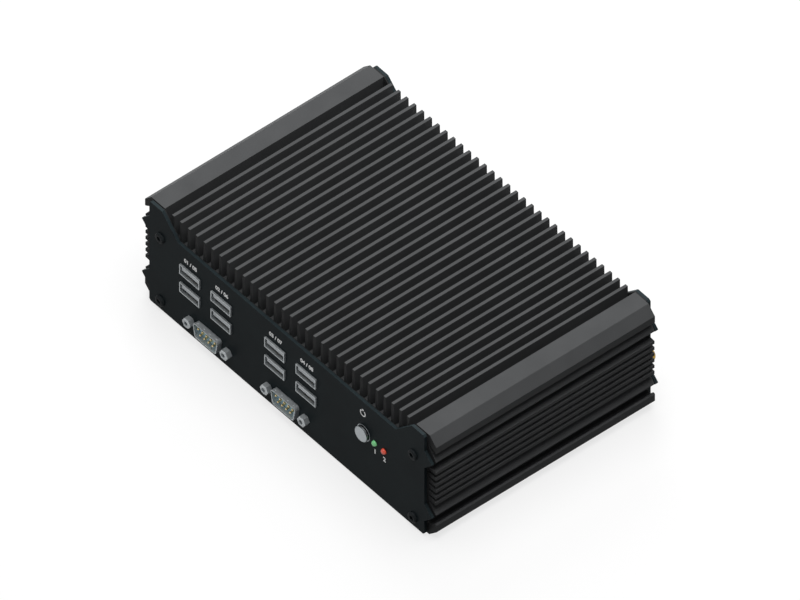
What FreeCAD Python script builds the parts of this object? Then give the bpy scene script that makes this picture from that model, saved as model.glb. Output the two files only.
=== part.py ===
"""Fanless industrial computer: finned aluminium housing, base cover, two end plates and what they hold.

Frame: origin at the middle of the underside, +Z up, the front panel faces -Y, lengths in millimetres.
Every size is a cell of the sheet; every sketch, pad and place is bound to those cells.
"""
import FreeCAD, Part
import os
import re
import Sketcher

doc = FreeCAD.newDocument("FanlessComputer")
sheet = doc.addObject("Spreadsheet::Sheet", "Sizes")

sizes = {
    # housing and base extrusions
    "caseWidth": 195.4, "caseLength": 123.0, "caseHeight": 61.6,
    "grooveDepth": 5.1, "sideWall": 3.4, "seamHeight": 9.6, "roofThickness": 4.2, "finFloor": 48.6,
    "shoulderWidth": 13.4, "shoulderChamfer": 4.4, "lipHeight": 4.3, "undercutRise": 3.3,
    "railInset": 0.3, "railFlat": 0.5, "lowRailHeight": 14.8, "lowRailRun": 5.7,
    "highRailDrop": 5.3, "highRailRun": 6.7, "chamberWall": 2.6, "edgeRound": 0.4,
    "finCount": 31, "finPitch": 5.25, "finTip": 1.5, "finRoot": 2.0,
    "ribCount": 6, "ribPitch": 3.72, "ribDrop": 5.9, "ribTip": 1.7, "ribSlope": 0.35,
    "floorThickness": 2.6, "footChamfer": 4.9, "flangeTop": 9.4, "flangeRound": 0.5,
    "flangeWidth": 2.9, "flangeLand": 1.0, "flangeFall": 2.1,
    "tongueWidth": 1.5, "tongueHeight": 2.0, "tongueGap": 0.1,
    "channelRadius": 3.4, "channelAcross": 84.7, "channelHigh": 44.5, "channelLow": 5.7,
    # end plates and gaskets
    "plateThickness": 1.5, "gasketThickness": 0.7, "plateFoot": 0.6, "plateInset": 0.4,
    "plateCorner": 0.9, "plateLip": 2.0, "shoulderFlat": 8.4, "earDrop": 0.7, "earReach": 4.9,
    "gasketInset": 0.6, "rearGasketInset": 0.1,
    "gasketRim": 2.8, "gasketSide": 14.0, "gasketSill": 0.3,
    # panel screws, M3 button head
    "threadRadius": 1.5, "threadPlay": 0.05, "holePlay": 0.15, "headDome": 0.7,
    "panelHeadRadius": 2.75, "panelHeadHeight": 1.1, "panelScrewLength": 10.0, "keyRadius": 1.15,
    "keyDepth": 0.7,
    # boards and their fixings
    "boardBottom": 19.7, "boardThickness": 1.6, "boardHalfWidth": 84.0, "boardHalfLength": 60.4,
    "boardCorner": 3.0, "standoffAcross": 78.0, "standoffPitch": 48.0, "standoffFlats": 5.5,
    "boardHeadRadius": 2.8, "boardHeadHeight": 1.9, "boardScrewLength": 6.0,
    "baseHeadRadius": 2.7, "baseHeadHeight": 1.2, "baseScrewLength": 8.0, "sinkPlay": 0.1,
    "bracketPitch": 75.0, "bracketHoleRadius": 1.65, "bracketPadRadius": 4.5, "bracketPadHeight": 1.8,
    # double USB sockets
    "usbWidth": 13.3, "usbHeight": 5.9, "usbWall": 0.5, "usbProud": 0.8, "usbDepth": 12.5,
    "usbLow": 25.6, "usbPitch": 11.0, "usbBodyDepth": 16.0, "usbBodyWidth": 14.6,
    "usbPairPitch": 20.95, "usbPairA": -54.05, "usbPairB": 2.95, "cutoutPlay": 0.25,
    "usbTongueWidth": 11.1, "usbTongueThick": 1.9, "usbTongueLength": 11.9, "usbTongueDrop": 0.75,
    # nine-pin serial ports
    "serialA": -51.8, "serialB": 0.25, "serialHeight": 9.4, "serialProud": 2.5,
    "shellWide": 16.9, "shellNarrow": 14.1, "shellHeight": 8.36, "shellWall": 0.5, "shellRound": 1.6,
    "shellFlangeWidth": 30.8, "shellFlangeHeight": 12.4, "shellFlange": 0.8, "shellRecess": 2.6,
    "insulatorWidth": 19.3, "insulatorHeight": 10.4, "insulatorPlay": 0.1,
    "pinRadius": 0.5, "pinPlay": 0.02, "socketDepth": 3.0, "pinPitch": 2.77, "pinRow": 1.42,
    "pinShort": 0.4, "pinTail": 0.8, "pinPoint": 0.25,
    "jackPitch": 24.99, "jackFlats": 4.75, "jackProud": 3.0, "jackShank": 1.4, "jackShankLength": 6.5,
    "jackBore": 1.25, "jackBoreDepth": 5.0, "jackChamfer": 0.4,
    "serialBoardGap": 9.3, "serialBoardTop": 17.8, "serialBoardFoot": 3.4, "serialBoardEnd": 17.0,
    "headerWidth": 25.4, "headerThick": 2.5, "headerDrop": 7.6,
    # power switch and lights
    "buttonAcross": 51.6, "buttonHeight": 31.9, "capRadius": 3.9, "capThickness": 1.3, "capGap": 0.75,
    "capChamfer": 0.35, "stemRadius": 2.0, "stemLength": 6.9, "guidePlay": 0.06, "guideSeat": 0.01,
    "guideRadius": 3.2,
    "guideFlange": 4.6, "guideFlangeThick": 1.0, "guideLength": 5.6, "clipRadius": 3.0,
    "clipThickness": 0.5, "clipGap": 0.1, "plungerRadius": 1.4, "plungerLength": 4.0,
    "plungerSlack": 0.9, "switchWidth": 9.0, "switchDepth": 7.0, "switchRise": 4.5,
    "lightAcross": 58.9, "lightPitch": 6.3, "lightHeight": 31.0, "lightRadius": 1.4, "lightDome": 1.2,
    "lightSeat": 0.9, "lightProud": 1.3, "lightRim": 1.8, "lightRimThick": 1.0,
    "holderDepth": 6.0, "holderMargin": 2.6,
    # rear ports
    "antennaAcross": 82.0, "antennaHeight": 15.0, "antennaRadius": 3.175, "antennaLength": 9.0,
    "antennaFlange": 3.9, "antennaFlangeThick": 1.6, "antennaTail": 5.0, "antennaBore": 2.3,
    "antennaBoreDepth": 5.2, "antennaNutFlats": 8.0, "antennaNutThick": 2.2,
    "contactRadius": 0.65, "contactLength": 4.2, "contactCollar": 2.6,
    "displayAcross": -54.0, "displayHeight": 27.8, "displayDepth": 13.0, "displayRecess": 0.3,
    "networkA": -25.5, "networkPitch": 18.6,
    "networkWidth": 16.0, "networkHeight": 13.4, "networkDepth": 21.3, "networkProud": 0.6,
    "networkMouthWidth": 12.2, "networkMouthHeight": 8.6, "networkMouthDepth": 13.0,
    "networkMouthRise": 1.6, "latchWidth": 6.2, "latchHeight": 1.6, "networkComb": 1.5,
    "rearUsb": 12.6, "videoAcross": 33.0, "videoWidth": 15.0, "videoHeight": 5.8, "videoRise": 0.9,
    "videoDepth": 11.0, "videoWall": 0.5, "videoProud": 0.7, "videoTaper": 1.6, "videoTongue": 1.3,
    "videoTongueWidth": 11.6, "videoTongueLength": 8.0, "videoTongueRise": 3.2,
    "powerAcross": 57.0, "powerWidth": 18.6,
    "powerHeight": 9.0, "powerDepth": 12.0, "powerWall": 1.1, "powerProud": 0.6, "powerFloor": 3.4,
    "powerPinPitch": 5.08, "powerPinRadius": 0.6, "powerPinLength": 6.6,
    # cooling, memory and storage
    "cpuAcross": 22.0, "cpuAlong": 4.0, "cpuBase": 36.0, "cpuBaseThick": 1.2, "cpuLid": 28.0,
    "cpuLidThick": 1.6, "cpuLidCorner": 1.2, "padThickness": 0.4, "spreaderSize": 62.0, "spreaderFoot": 3.6,
    "spreaderFootInset": 5.0, "spreaderRelief": 8.0, "spreaderReliefDepth": 7.0,
    "memoryAcross": -44.0, "memoryClear": 5.2, "memoryLength": 69.6, "memoryWidth": 30.0,
    "memoryThick": 1.2, "memoryRise": 3.4, "memorySocket": 6.0, "memoryArm": 3.0,
    "memoryChipPitch": 16.6, "memoryChipWidth": 14.4, "memoryChipLength": 10.8,
    "cellAcross": 66.0, "cellAlong": -20.0, "cellRadius": 10.0, "cellThick": 3.2,
    "cellHolderRim": 1.6, "cellHolderFloor": 1.2, "cellHolderHeight": 3.4,
    "driveWidth": 69.85, "driveLength": 100.0,
    "driveThick": 7.0, "driveRound": 1.0, "driveLift": 3.4, "bracketSheet": 1.2, "bracketFoot": 9.0,
    "driveScrewPitch": 76.6, "driveScrewInset": 4.1, "driveAlong": 0.0, "driveScrewDepth": 3.0,
    "driveHeadRadius": 2.6, "driveHeadHeight": 1.2,
    "chipSize": 12.0, "chipThick": 1.5, "chipAcross": -68.0, "chipAlong": -1.0, "chipPitch": 22.0,
    "coilAcross": 60.0, "coilAlong": 30.0, "coilSize": 7.0, "coilHeight": 4.2, "coilPitch": 8.6,
    "coilCorner": 0.8, "canAcross": 28.0, "canAlong": -38.0, "canRadius": 3.15, "canHeight": 6.4,
    "canPitch": 8.2, "canBase": 0.8,
}

# places worked out from the sizes
places = {
    "halfWidth": "caseWidth / 2",
    "halfLength": "caseLength / 2",
    "wallFace": "halfWidth - grooveDepth",
    "innerFace": "wallFace - sideWall",
    "railFace": "halfWidth - railInset",
    "shoulderFace": "halfWidth - shoulderWidth",
    "ceiling": "finFloor - roofThickness",
    "railReach": "railFace - wallFace",
    "lipFoot": "caseHeight - shoulderChamfer - lipHeight",
    "highRailHeight": "lipFoot - highRailDrop",
    "ribTop": "highRailHeight - ribDrop",
    "grooveTop": "highRailHeight + railFlat + highRailRun",
    "plateSide": "wallFace - plateInset",
    "plateTip": "plateSide + earReach",
    "plateMiddleTop": "finFloor + plateLip",
    "frontInner": "0 - halfLength - gasketThickness",
    "frontFace": "frontInner - plateThickness",
    "rearInner": "halfLength + gasketThickness",
    "rearFace": "rearInner + plateThickness",
    "shellSeat": "plateThickness + threadPlay",
    "shellBack": "shellSeat + shellFlange",
    "boardTop": "boardBottom + boardThickness",
    "usbTop": "usbLow + usbPitch",
    "capBack": "frontFace - capGap",
    "stemEnd": "capBack + stemLength",
    "guideEnd": "frontInner + guideLength - plateThickness",
    "cpuTop": "boardTop + cpuBaseThick + cpuLidThick",
    "spreaderBottom": "cpuTop + padThickness",
    "spreaderTop": "ceiling - padThickness",
    "driveFloor": "floorThickness + driveLift",
    "memoryAlong": "rearFace - networkDepth + networkProud - memoryClear - memoryLength / 2",
    "cardLow": "boardTop + memoryRise",
    "cardTop": "cardLow + memoryThick",
}


def full(expression):
    """The expression with every size and place written out as the sheet's own cells."""
    def word(match):
        name = match.group(0)
        if name in sizes:
            return "Sizes." + name
        return "(" + full(places[name]) + ")" if name in places else name
    return re.sub(r"[A-Za-z][A-Za-z]*", word, str(expression))


def number(expression):
    return float(sheet.evalExpression(full(expression)))


def bind(item, prop, expression):
    item.setExpression(prop, full(expression))


def fill_sheet():
    for row, (name, size) in enumerate(sizes.items(), 1):
        sheet.set(f"A{row}", name)
        sheet.set(f"B{row}", str(size))
        sheet.setAlias(f"B{row}", name)
    doc.recompute()


# drawing helpers

def loop(*points):
    """A closed outline through points given as pairs of expressions."""
    return ("loop", points)


def ring(across, up, radius):
    return ("ring", (across, up, radius))


def rect(left, right, low, high):
    return loop((left, low), (right, low), (right, high), (left, high))


def around(across, up, width, height):
    """A rectangle of a width and height about a middle point."""
    return rect(f"{across} - ({width}) / 2", f"{across} + ({width}) / 2",
                f"{up} - ({height}) / 2", f"{up} + ({height}) / 2")


def mirrored(points):
    """A half outline, from the middle outwards and back, closed by its own mirror image."""
    other = [(f"0 - ({across})", up) for across, up in reversed(points) if number(across) != 0]
    return loop(*points, *other)


planes = {"Y": ("XZ_Plane", -1), "Z": ("XY_Plane", 1), "X": ("YZ_Plane", 1)}


def draw(body, name, axis, level, shapes):
    """A fully constrained sketch square to an axis, at a level along that axis."""
    role, sign = planes[axis]
    sketch = body.newObject("Sketcher::SketchObject", name + "Sketch")
    plane = next(item for item in body.Origin.OriginFeatures if item.Role == role)
    sketch.AttachmentSupport = [(plane, "")]
    sketch.MapMode = "FlatFace"
    bind(sketch, "AttachmentOffset.Base.z", level if sign > 0 else f"0 - ({level})")
    rules, bound = [], []

    def fix(item, point, across, up):
        for kind, expression, line in (("DistanceX", across, -2), ("DistanceY", up, -1)):
            if number(expression) == 0:
                rules.append(Sketcher.Constraint("PointOnObject", item, point, line))
            else:
                bound.append((len(rules), expression))
                rules.append(Sketcher.Constraint(kind, -1, 1, item, point, number(expression)))

    for kind, data in shapes:
        first = sketch.GeometryCount
        if kind == "ring":
            across, up, radius = data
            middle = FreeCAD.Vector(number(across), number(up), 0)
            sketch.addGeometry(Part.Circle(middle, FreeCAD.Vector(0, 0, 1), number(radius)))
            fix(first, 3, across, up)
            bound.append((len(rules), radius))
            rules.append(Sketcher.Constraint("Radius", first, number(radius)))
            continue
        corners = [FreeCAD.Vector(number(across), number(up), 0) for across, up in data]
        count = len(corners)
        for index, corner in enumerate(corners):
            sketch.addGeometry(Part.LineSegment(corner, corners[(index + 1) % count]))
        for index, (across, up) in enumerate(data):
            following = first + (index + 1) % count
            rules.append(Sketcher.Constraint("Coincident", first + index, 2, following, 1))
            fix(first + index, 1, across, up)
    sketch.addConstraint(rules)
    for index, expression in bound:
        bind(sketch, f"Constraints[{index}]", expression)
    return sketch


def new_body(label):
    body = doc.addObject("PartDesign::Body", label)
    body.Label = label
    return body


def add(body, name, axis, low, high, *shapes):
    """A pad from one level to another along an axis."""
    start = high if planes[axis][1] < 0 else low
    pad = body.newObject("PartDesign::Pad", name)
    pad.Profile = draw(body, name, axis, start, shapes)
    bind(pad, "Length", f"({high}) - ({low})")
    doc.recompute()
    return pad


def cut(body, name, axis, low, high, *shapes):
    """A pocket from one level to another along an axis; it has to take material away."""
    before = body.Shape.Volume
    start = low if planes[axis][1] < 0 else high
    pocket = body.newObject("PartDesign::Pocket", name)
    pocket.Profile = draw(body, name, axis, start, shapes)
    bind(pocket, "Length", f"({high}) - ({low})")
    doc.recompute()
    if body.Shape.Volume >= before - 1e-6:
        raise RuntimeError(f"{body.Label}: {name} cuts nothing")
    return pocket


def turn(body, name, *points):
    """A solid of revolution about the body's own Y axis, from points (radius, along)."""
    revolution = body.newObject("PartDesign::Revolution", name)
    sketch = draw(body, name, "Z", "0", [loop(*points)])
    revolution.Profile = sketch
    revolution.ReferenceAxis = (sketch, ["V_Axis"])
    doc.recompute()
    return revolution


def pattern(body, name, features, axis, count, pitch, reverse=False):
    row = body.newObject("PartDesign::LinearPattern", name)
    row.Originals = features
    row.Direction = (next(f for f in body.Origin.OriginFeatures if f.Role == axis), [""])
    row.Mode = "Spacing"
    row.Reversed = reverse
    bind(row, "Occurrences", count)
    bind(row, "Offset", pitch)
    body.Tip = row
    doc.recompute()
    return row


def dress(body, kind, name, size, choose):
    """A fillet or chamfer on the edges of the tip that choose() picks."""
    base = body.Tip
    edges = [f"Edge{i}" for i, edge in enumerate(base.Shape.Edges, 1) if choose(edge)]
    if not edges:
        raise RuntimeError(f"{body.Label}: {name} finds no edge")
    feature = body.newObject("PartDesign::" + kind, name)
    feature.Base = (base, edges)
    bind(feature, "Radius" if kind == "Fillet" else "Size", size)
    doc.recompute()
    return feature


def is_circle(edge):
    return edge.Curve.TypeId == "Part::GeomCircle"


def runs_along(edge, axis):
    ends = edge.Vertexes
    if len(ends) < 2:
        return False
    gap = ends[1].Point.sub(ends[0].Point)
    return abs(abs(getattr(gap, axis.lower())) - gap.Length) < 1e-6 and gap.Length > 1e-6


def place(item, across=0, along=0, up=0, turned=None):
    if turned:
        axis, angle = turned
        rotation = FreeCAD.Rotation(FreeCAD.Vector(*axis), angle)
        item.Placement = FreeCAD.Placement(FreeCAD.Vector(), rotation)
    for prop, expression in (("x", across), ("y", along), ("z", up)):
        bind(item, "Placement.Base." + prop, expression)
    return item


parts = {}
halfTurn = ((0, 0, 1), 180)


def keep(label, item):
    item.Label = label
    parts[label] = item
    return item


def group(label, pattern_body, spots, turned=None, rear_spots=()):
    """Copies of one body as a single item; a spot is (across, along, up), and rear spots face +Y."""
    links = []
    for spot in (*spots, *rear_spots):
        link = doc.addObject("App::Link", f"{label}_{len(links) + 1}")
        link.LinkedObject = pattern_body
        links.append(place(link, *spot, turned=halfTurn if len(links) >= len(spots) else turned))
    compound = doc.addObject("Part::Compound", label)
    compound.Links = links
    return keep(label, compound)


def box(label, left, right, front, back, low, high):
    """A plain block between three pairs of levels."""
    item = doc.addObject("Part::Box", label)
    bind(item, "Length", f"({right}) - ({left})")
    bind(item, "Width", f"({back}) - ({front})")
    bind(item, "Height", f"({high}) - ({low})")
    return place(item, left, front, low)


def hexagon(across, up, flats):
    """Flats face up and down."""
    corner = f"({flats}) / sqrt(3)"
    steps = ((1, 0), (0.5, 0.5), (-0.5, 0.5), (-1, 0), (-0.5, -0.5), (0.5, -0.5))
    return loop(*[(f"{across} + {sx} * {corner}", f"{up} + {sy} * ({flats})") for sx, sy in steps])


both = ("", "0 - ")


# housing, base and end plates

def housing():
    body = new_body("housing")
    section = mirrored([
        ("0", "ceiling"), ("innerFace", "ceiling"), ("innerFace", "seamHeight"),
        ("wallFace", "seamHeight"), ("wallFace", "lowRailHeight - railReach"), ("railFace", "lowRailHeight"),
        ("railFace", "lowRailHeight + railFlat"), ("wallFace", "lowRailHeight + railFlat + lowRailRun"),
        ("wallFace", "highRailHeight - railReach"), ("railFace", "highRailHeight"),
        ("railFace", "highRailHeight + railFlat"), ("wallFace", "grooveTop"),
        ("wallFace", "lipFoot + undercutRise"), ("halfWidth", "lipFoot"),
        ("halfWidth", "caseHeight - shoulderChamfer"), ("halfWidth - shoulderChamfer", "caseHeight"),
        ("shoulderFace", "caseHeight"), ("shoulderFace", "finFloor"), ("0", "finFloor")])
    add(body, "Section", "Y", "0 - halfLength", "halfLength", section)
    add(body, "ScrewChannels", "Y", "0 - halfLength", "halfLength",
        *[ring(side + "channelAcross", "channelHigh", "channelRadius") for side in both])
    cut(body, "ThreadHoles", "Y", "0 - halfLength", "halfLength",
        *[ring(side + "channelAcross", "channelHigh", "threadRadius + threadPlay") for side in both])
    chamber = [("shoulderFace + chamberWall", "finFloor + chamberWall"),
               ("wallFace - chamberWall", "finFloor + chamberWall"),
               ("wallFace - chamberWall", "caseHeight - chamberWall"),
               ("shoulderFace + chamberWall", "caseHeight - chamberWall")]
    cut(body, "ShoulderChambers", "Y", "0 - halfLength", "halfLength",
        *[loop(*[(f"{side}({across})", up) for across, up in chamber]) for side in both])
    outer, low = number("halfWidth - shoulderChamfer") - 0.01, number("lipFoot") - 0.01
    dress(body, "Fillet", "ShoulderRounds", "edgeRound",
          lambda edge: runs_along(edge, "Y") and abs(edge.Vertexes[0].X) > outer and edge.Vertexes[0].Z > low)
    rib = [("wallFace", "ribTop + ribSlope"), ("railFace", "ribTop"), ("railFace", "ribTop - ribTip"),
           ("wallFace", "ribTop - ribTip - ribSlope")]
    ribs = add(body, "SideRibs", "Y", "0 - halfLength", "halfLength",
               *[loop(*[(f"{side}({across})", up) for across, up in rib]) for side in both])
    pattern(body, "SideRibRow", [ribs], "Z_Axis", "ribCount", "ribPitch", reverse=True)
    first = "(0 - finPitch * (finCount - 1) / 2)"
    fin = add(body, "Fin", "Y", "0 - halfLength", "halfLength",
              loop((f"{first} - finRoot / 2", "finFloor"), (f"{first} + finRoot / 2", "finFloor"),
                   (f"{first} + finTip / 2", "caseHeight"), (f"{first} - finTip / 2", "caseHeight")))
    pattern(body, "FinRow", [fin], "X_Axis", "finCount", "finPitch")
    return keep("housing", body)


def base_cover():
    body = new_body("base_cover")
    tongue = "innerFace - tongueGap"
    section = mirrored([
        ("0", "0"), ("halfWidth - footChamfer", "0"), ("halfWidth", "footChamfer"),
        ("halfWidth", "flangeTop - flangeRound"), ("halfWidth - flangeRound", "flangeTop"),
        ("halfWidth - flangeLand", "flangeTop"), ("halfWidth - flangeWidth", "flangeTop - flangeFall"),
        ("wallFace", "flangeTop - flangeFall"), ("wallFace", "seamHeight"), (tongue, "seamHeight"),
        (tongue, "seamHeight + tongueHeight"), (f"{tongue} - tongueWidth", "seamHeight + tongueHeight"),
        (f"{tongue} - tongueWidth", "floorThickness"), ("0", "floorThickness")])
    add(body, "Section", "Y", "0 - halfLength", "halfLength", section)
    add(body, "ScrewChannels", "Y", "0 - halfLength", "halfLength",
        *[ring(side + "channelAcross", "channelLow", "channelRadius") for side in both])
    cut(body, "ThreadHoles", "Y", "0 - halfLength", "halfLength",
        *[ring(side + "channelAcross", "channelLow", "threadRadius + threadPlay") for side in both])
    corners = [(sx + "bracketPitch / 2", sy + "bracketPitch / 2") for sx in both for sy in both]
    add(body, "BracketPads", "Z", "floorThickness", "floorThickness + bracketPadHeight",
        *[ring(across, along, "bracketPadRadius") for across, along in corners])
    cut(body, "BracketHoles", "Z", "0", "floorThickness + bracketPadHeight",
        *[ring(across, along, "bracketHoleRadius") for across, along in corners])
    cut(body, "BaseScrewHoles", "Z", "0", "floorThickness",
        *[ring(across, along, "threadRadius + holePlay") for across, along, _ in standoff_spots()])
    outer = number("standoffAcross - standoffFlats")
    dress(body, "Chamfer", "Countersinks", "baseHeadRadius + sinkPlay - threadRadius - holePlay",
          lambda edge: is_circle(edge) and abs(edge.Curve.Center.x) > outer and edge.Vertexes[0].Z < 1e-6)
    return keep("base_cover", body)


def ear(rail):
    """The pointed ear of a plate that covers a rail's end, both its edges at 45 degrees."""
    tip = f"{rail} - earDrop"
    return [("plateSide", f"{tip} - earReach"), ("plateTip", tip), ("plateTip", f"{tip} + railFlat"),
            ("plateSide", f"{tip} + railFlat + earReach")]


def plate_outline():
    slope = "(caseHeight - plateMiddleTop)"
    return mirrored([
        ("0", "plateFoot"), ("plateSide - plateCorner", "plateFoot"),
        ("plateSide", "plateFoot + plateCorner"), *ear("lowRailHeight"), *ear("highRailHeight"),
        ("plateSide", "caseHeight - plateCorner"), ("plateSide - plateCorner", "caseHeight"),
        ("plateSide - shoulderFlat", "caseHeight"),
        (f"plateSide - shoulderFlat - {slope}", "plateMiddleTop"), ("0", "plateMiddleTop")])


def screw_spots(level):
    return [(side + "channelAcross", level, up) for side in both for up in ("channelLow", "channelHigh")]


def d_outline(across, up, grow):
    """The serial shell's outline, wide side up, grown all round."""
    wide, narrow = f"(shellWide / 2 + {grow})", f"(shellNarrow / 2 + {grow})"
    high = f"(shellHeight / 2 + {grow})"
    return loop((f"{across} - {wide}", f"{up} + {high}"), (f"{across} - {narrow}", f"{up} - {high}"),
                (f"{across} + {narrow}", f"{up} - {high}"), (f"{across} + {wide}", f"{up} + {high}"))


def near(edge, across, up, reach_across, reach_up):
    point = edge.Vertexes[0]
    return abs(point.X - number(across)) < reach_across and abs(point.Z - number(up)) < reach_up


def round_ports(body, ports):
    """Rounded corners for the D-shaped cut-outs of a panel."""
    wide, high = number("shellWide / 2 + 1"), number("shellHeight / 2 + 1")
    dress(body, "Fillet", "PortCorners", "shellRound + cutoutPlay",
          lambda edge: runs_along(edge, "Y") and any(near(edge, x, z, wide, high) for x, z in ports))


usbPlaces = [f"usbPair{pair} {sign} usbPairPitch / 2" for pair in "AB" for sign in "-+"]
serialPlaces = ["serialA", "serialB"]
networkPlaces = ["networkA", "networkA + networkPitch"]


def front_panel():
    body = new_body("front_panel")
    span = ("frontFace", "frontInner")
    add(body, "Sheet", "Y", *span, plate_outline())
    cut(body, "ScrewHoles", "Y", *span,
        *[ring(across, up, "threadRadius + holePlay") for across, _, up in screw_spots("0")])
    cut(body, "UsbCutouts", "Y", *span,
        *[around(across, up, "usbWidth + 2 * cutoutPlay", "usbHeight + 2 * cutoutPlay")
          for across in usbPlaces for up in ("usbLow", "usbTop")])
    cut(body, "SerialCutouts", "Y", *span,
        *[d_outline(across, "serialHeight", "cutoutPlay") for across in serialPlaces])
    round_ports(body, [(across, "serialHeight") for across in serialPlaces])
    cut(body, "JackscrewHoles", "Y", *span,
        *[ring(f"{across} {sign} jackPitch / 2", "serialHeight", "jackShank + holePlay")
          for across in serialPlaces for sign in "-+"])
    cut(body, "ButtonAndLightHoles", "Y", *span,
        ring("buttonAcross", "buttonHeight", "guideRadius + threadPlay"),
        *[ring(f"lightAcross + {index} * lightPitch", "lightHeight", "lightRadius + holePlay")
          for index in (0, 1)])
    return keep("front_panel", body)


def rear_panel():
    body = new_body("rear_panel")
    span = ("rearInner", "rearFace")
    add(body, "Sheet", "Y", *span, plate_outline())
    cut(body, "ScrewHoles", "Y", *span,
        *[ring(across, up, "threadRadius + holePlay") for across, _, up in screw_spots("0")])
    cut(body, "AntennaHoles", "Y", *span,
        *[ring(side + "antennaAcross", "antennaHeight", "antennaRadius + holePlay") for side in both])
    play = "2 * cutoutPlay"
    cut(body, "PortCutouts", "Y", *span,
        *[around("rearUsb", up, f"usbWidth + {play}", f"usbHeight + {play}") for up in ("usbLow", "usbTop")],
        *[around(across, "boardTop + networkHeight / 2", f"networkWidth + {play}", f"networkHeight + {play}")
          for across in networkPlaces],
        around("videoAcross", "boardTop + videoRise + videoHeight / 2",
               f"videoWidth + {play}", f"videoHeight + {play}"),
        around("powerAcross", "boardTop + powerHeight / 2", f"powerWidth + {play}", f"powerHeight + {play}"))
    cut(body, "DisplayCutout", "Y", *span, d_outline("displayAcross", "displayHeight", "cutoutPlay"))
    round_ports(body, [("displayAcross", "displayHeight")])
    cut(body, "JackscrewHoles", "Y", *span,
        *[ring(f"displayAcross {sign} jackPitch / 2", "displayHeight", "jackShank + holePlay")
          for sign in "-+"])
    return keep("rear_panel", body)


def gasket(label, front, back, inset, *extra):
    body = new_body(label)
    slope = "(caseHeight - plateMiddleTop)"
    side, foot, top = f"plateSide - {inset}", f"plateFoot + {inset}", f"caseHeight - {inset}"
    shoulder = f"plateSide - shoulderFlat + {inset} / 2"
    add(body, "Sheet", "Y", front, back, mirrored([
        ("0", foot), (side, foot), (side, f"{top} - plateCorner"), (f"{side} - plateCorner", top),
        (shoulder, top), (f"{shoulder} - {slope}", f"plateMiddleTop - {inset}"),
        ("0", f"plateMiddleTop - {inset}")]))
    reach = "(innerFace - gasketSide)"
    cut(body, "Window", "Y", front, back,
        rect(f"0 - {reach}", reach, "floorThickness + gasketSill", "ceiling - gasketRim"))
    cut(body, "ScrewHoles", "Y", front, back,
        *[ring(across, up, "threadRadius + holePlay") for across, _, up in screw_spots("0")], *extra)
    return keep(label, body)


# screws

def screw(label, head_radius, head_height, length, sunk=False):
    """A machine screw along +Y, its seat at the origin; a sunk head is a cone that ends flush."""
    body = new_body(label)
    if sunk:
        profile = [("0", "0"), (head_radius, "0"), ("threadRadius", f"{head_radius} - threadRadius"),
                   ("threadRadius", length), ("0", length)]
    else:
        profile = [("0", f"0 - {head_height}"), (head_radius, f"0 - {head_height}"), (head_radius, "0"),
                   ("threadRadius", "0"), ("threadRadius", length), ("0", length)]
    turn(body, "Turned", *profile)
    if not sunk:
        crown = number(f"0 - {head_height}") + 1e-6
        dress(body, "Fillet", "Dome", f"{head_height} * headDome",
              lambda edge: is_circle(edge) and edge.Vertexes[0].Y < crown)
    top = "0" if sunk else f"0 - {head_height}"
    cut(body, "Key", "Y", top, f"{top} + keyDepth", hexagon("0", "0", "2 * keyRadius"))
    return body


def standoff_spots(up="0"):
    return [(side + "standoffAcross", f"{step} * standoffPitch", up) for side in both for step in (-1, 0, 1)]


def fasteners():
    panel = screw("PanelScrew", "panelHeadRadius", "panelHeadHeight", "panelScrewLength")
    group("panel_screws", panel, screw_spots("frontFace"), rear_spots=screw_spots("rearFace"))
    board = screw("BoardScrew", "boardHeadRadius", "boardHeadHeight", "boardScrewLength")
    group("board_screws", board, standoff_spots("boardTop"), turned=((1, 0, 0), -90))
    base = screw("BaseScrew", "baseHeadRadius", "baseHeadHeight", "baseScrewLength", sunk=True)
    group("base_screws", base, standoff_spots("0"), turned=((1, 0, 0), 90))
    spacer = new_body("Standoff")
    add(spacer, "Hexagon", "Z", "floorThickness", "boardBottom", hexagon("0", "0", "standoffFlats"))
    cut(spacer, "Thread", "Z", "floorThickness", "boardBottom", ring("0", "0", "threadRadius + threadPlay"))
    group("board_standoffs", spacer, standoff_spots())


# ports: each is drawn with the panel's outer face at y = 0 and its mouth towards -Y

def front_port(label, item, across, up="0"):
    return keep(label, place(item, across, "frontFace", up))


def rear_port(label, item, across, up="0"):
    return keep(label, place(item, across, "rearFace", up, turned=halfTurn))


def usb_socket(label):
    body = new_body(label)
    add(body, "Can", "Y", "shellSeat", "plateThickness + usbBodyDepth",
        rect("0 - usbBodyWidth / 2", "usbBodyWidth / 2", "boardTop", "usbTop + usbHeight / 2 + usbWall"))
    add(body, "Collars", "Y", "0 - usbProud", "plateThickness + 2 * threadPlay",
        *[around("0", up, "usbWidth", "usbHeight") for up in ("usbLow", "usbTop")])
    cut(body, "Mouths", "Y", "0 - usbProud", "usbDepth - usbProud",
        *[around("0", up, "usbWidth - 2 * usbWall", "usbHeight - 2 * usbWall")
          for up in ("usbLow", "usbTop")])
    return body


def usb_tongue():
    body = new_body("UsbTongue")
    top = "usbHeight / 2 - usbWall - usbTongueDrop"
    back = "usbDepth - usbProud"
    add(body, "Blade", "Y", f"{back} - usbTongueLength", back,
        rect("0 - usbTongueWidth / 2", "usbTongueWidth / 2", f"{top} - usbTongueThick", top))
    return body


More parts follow.
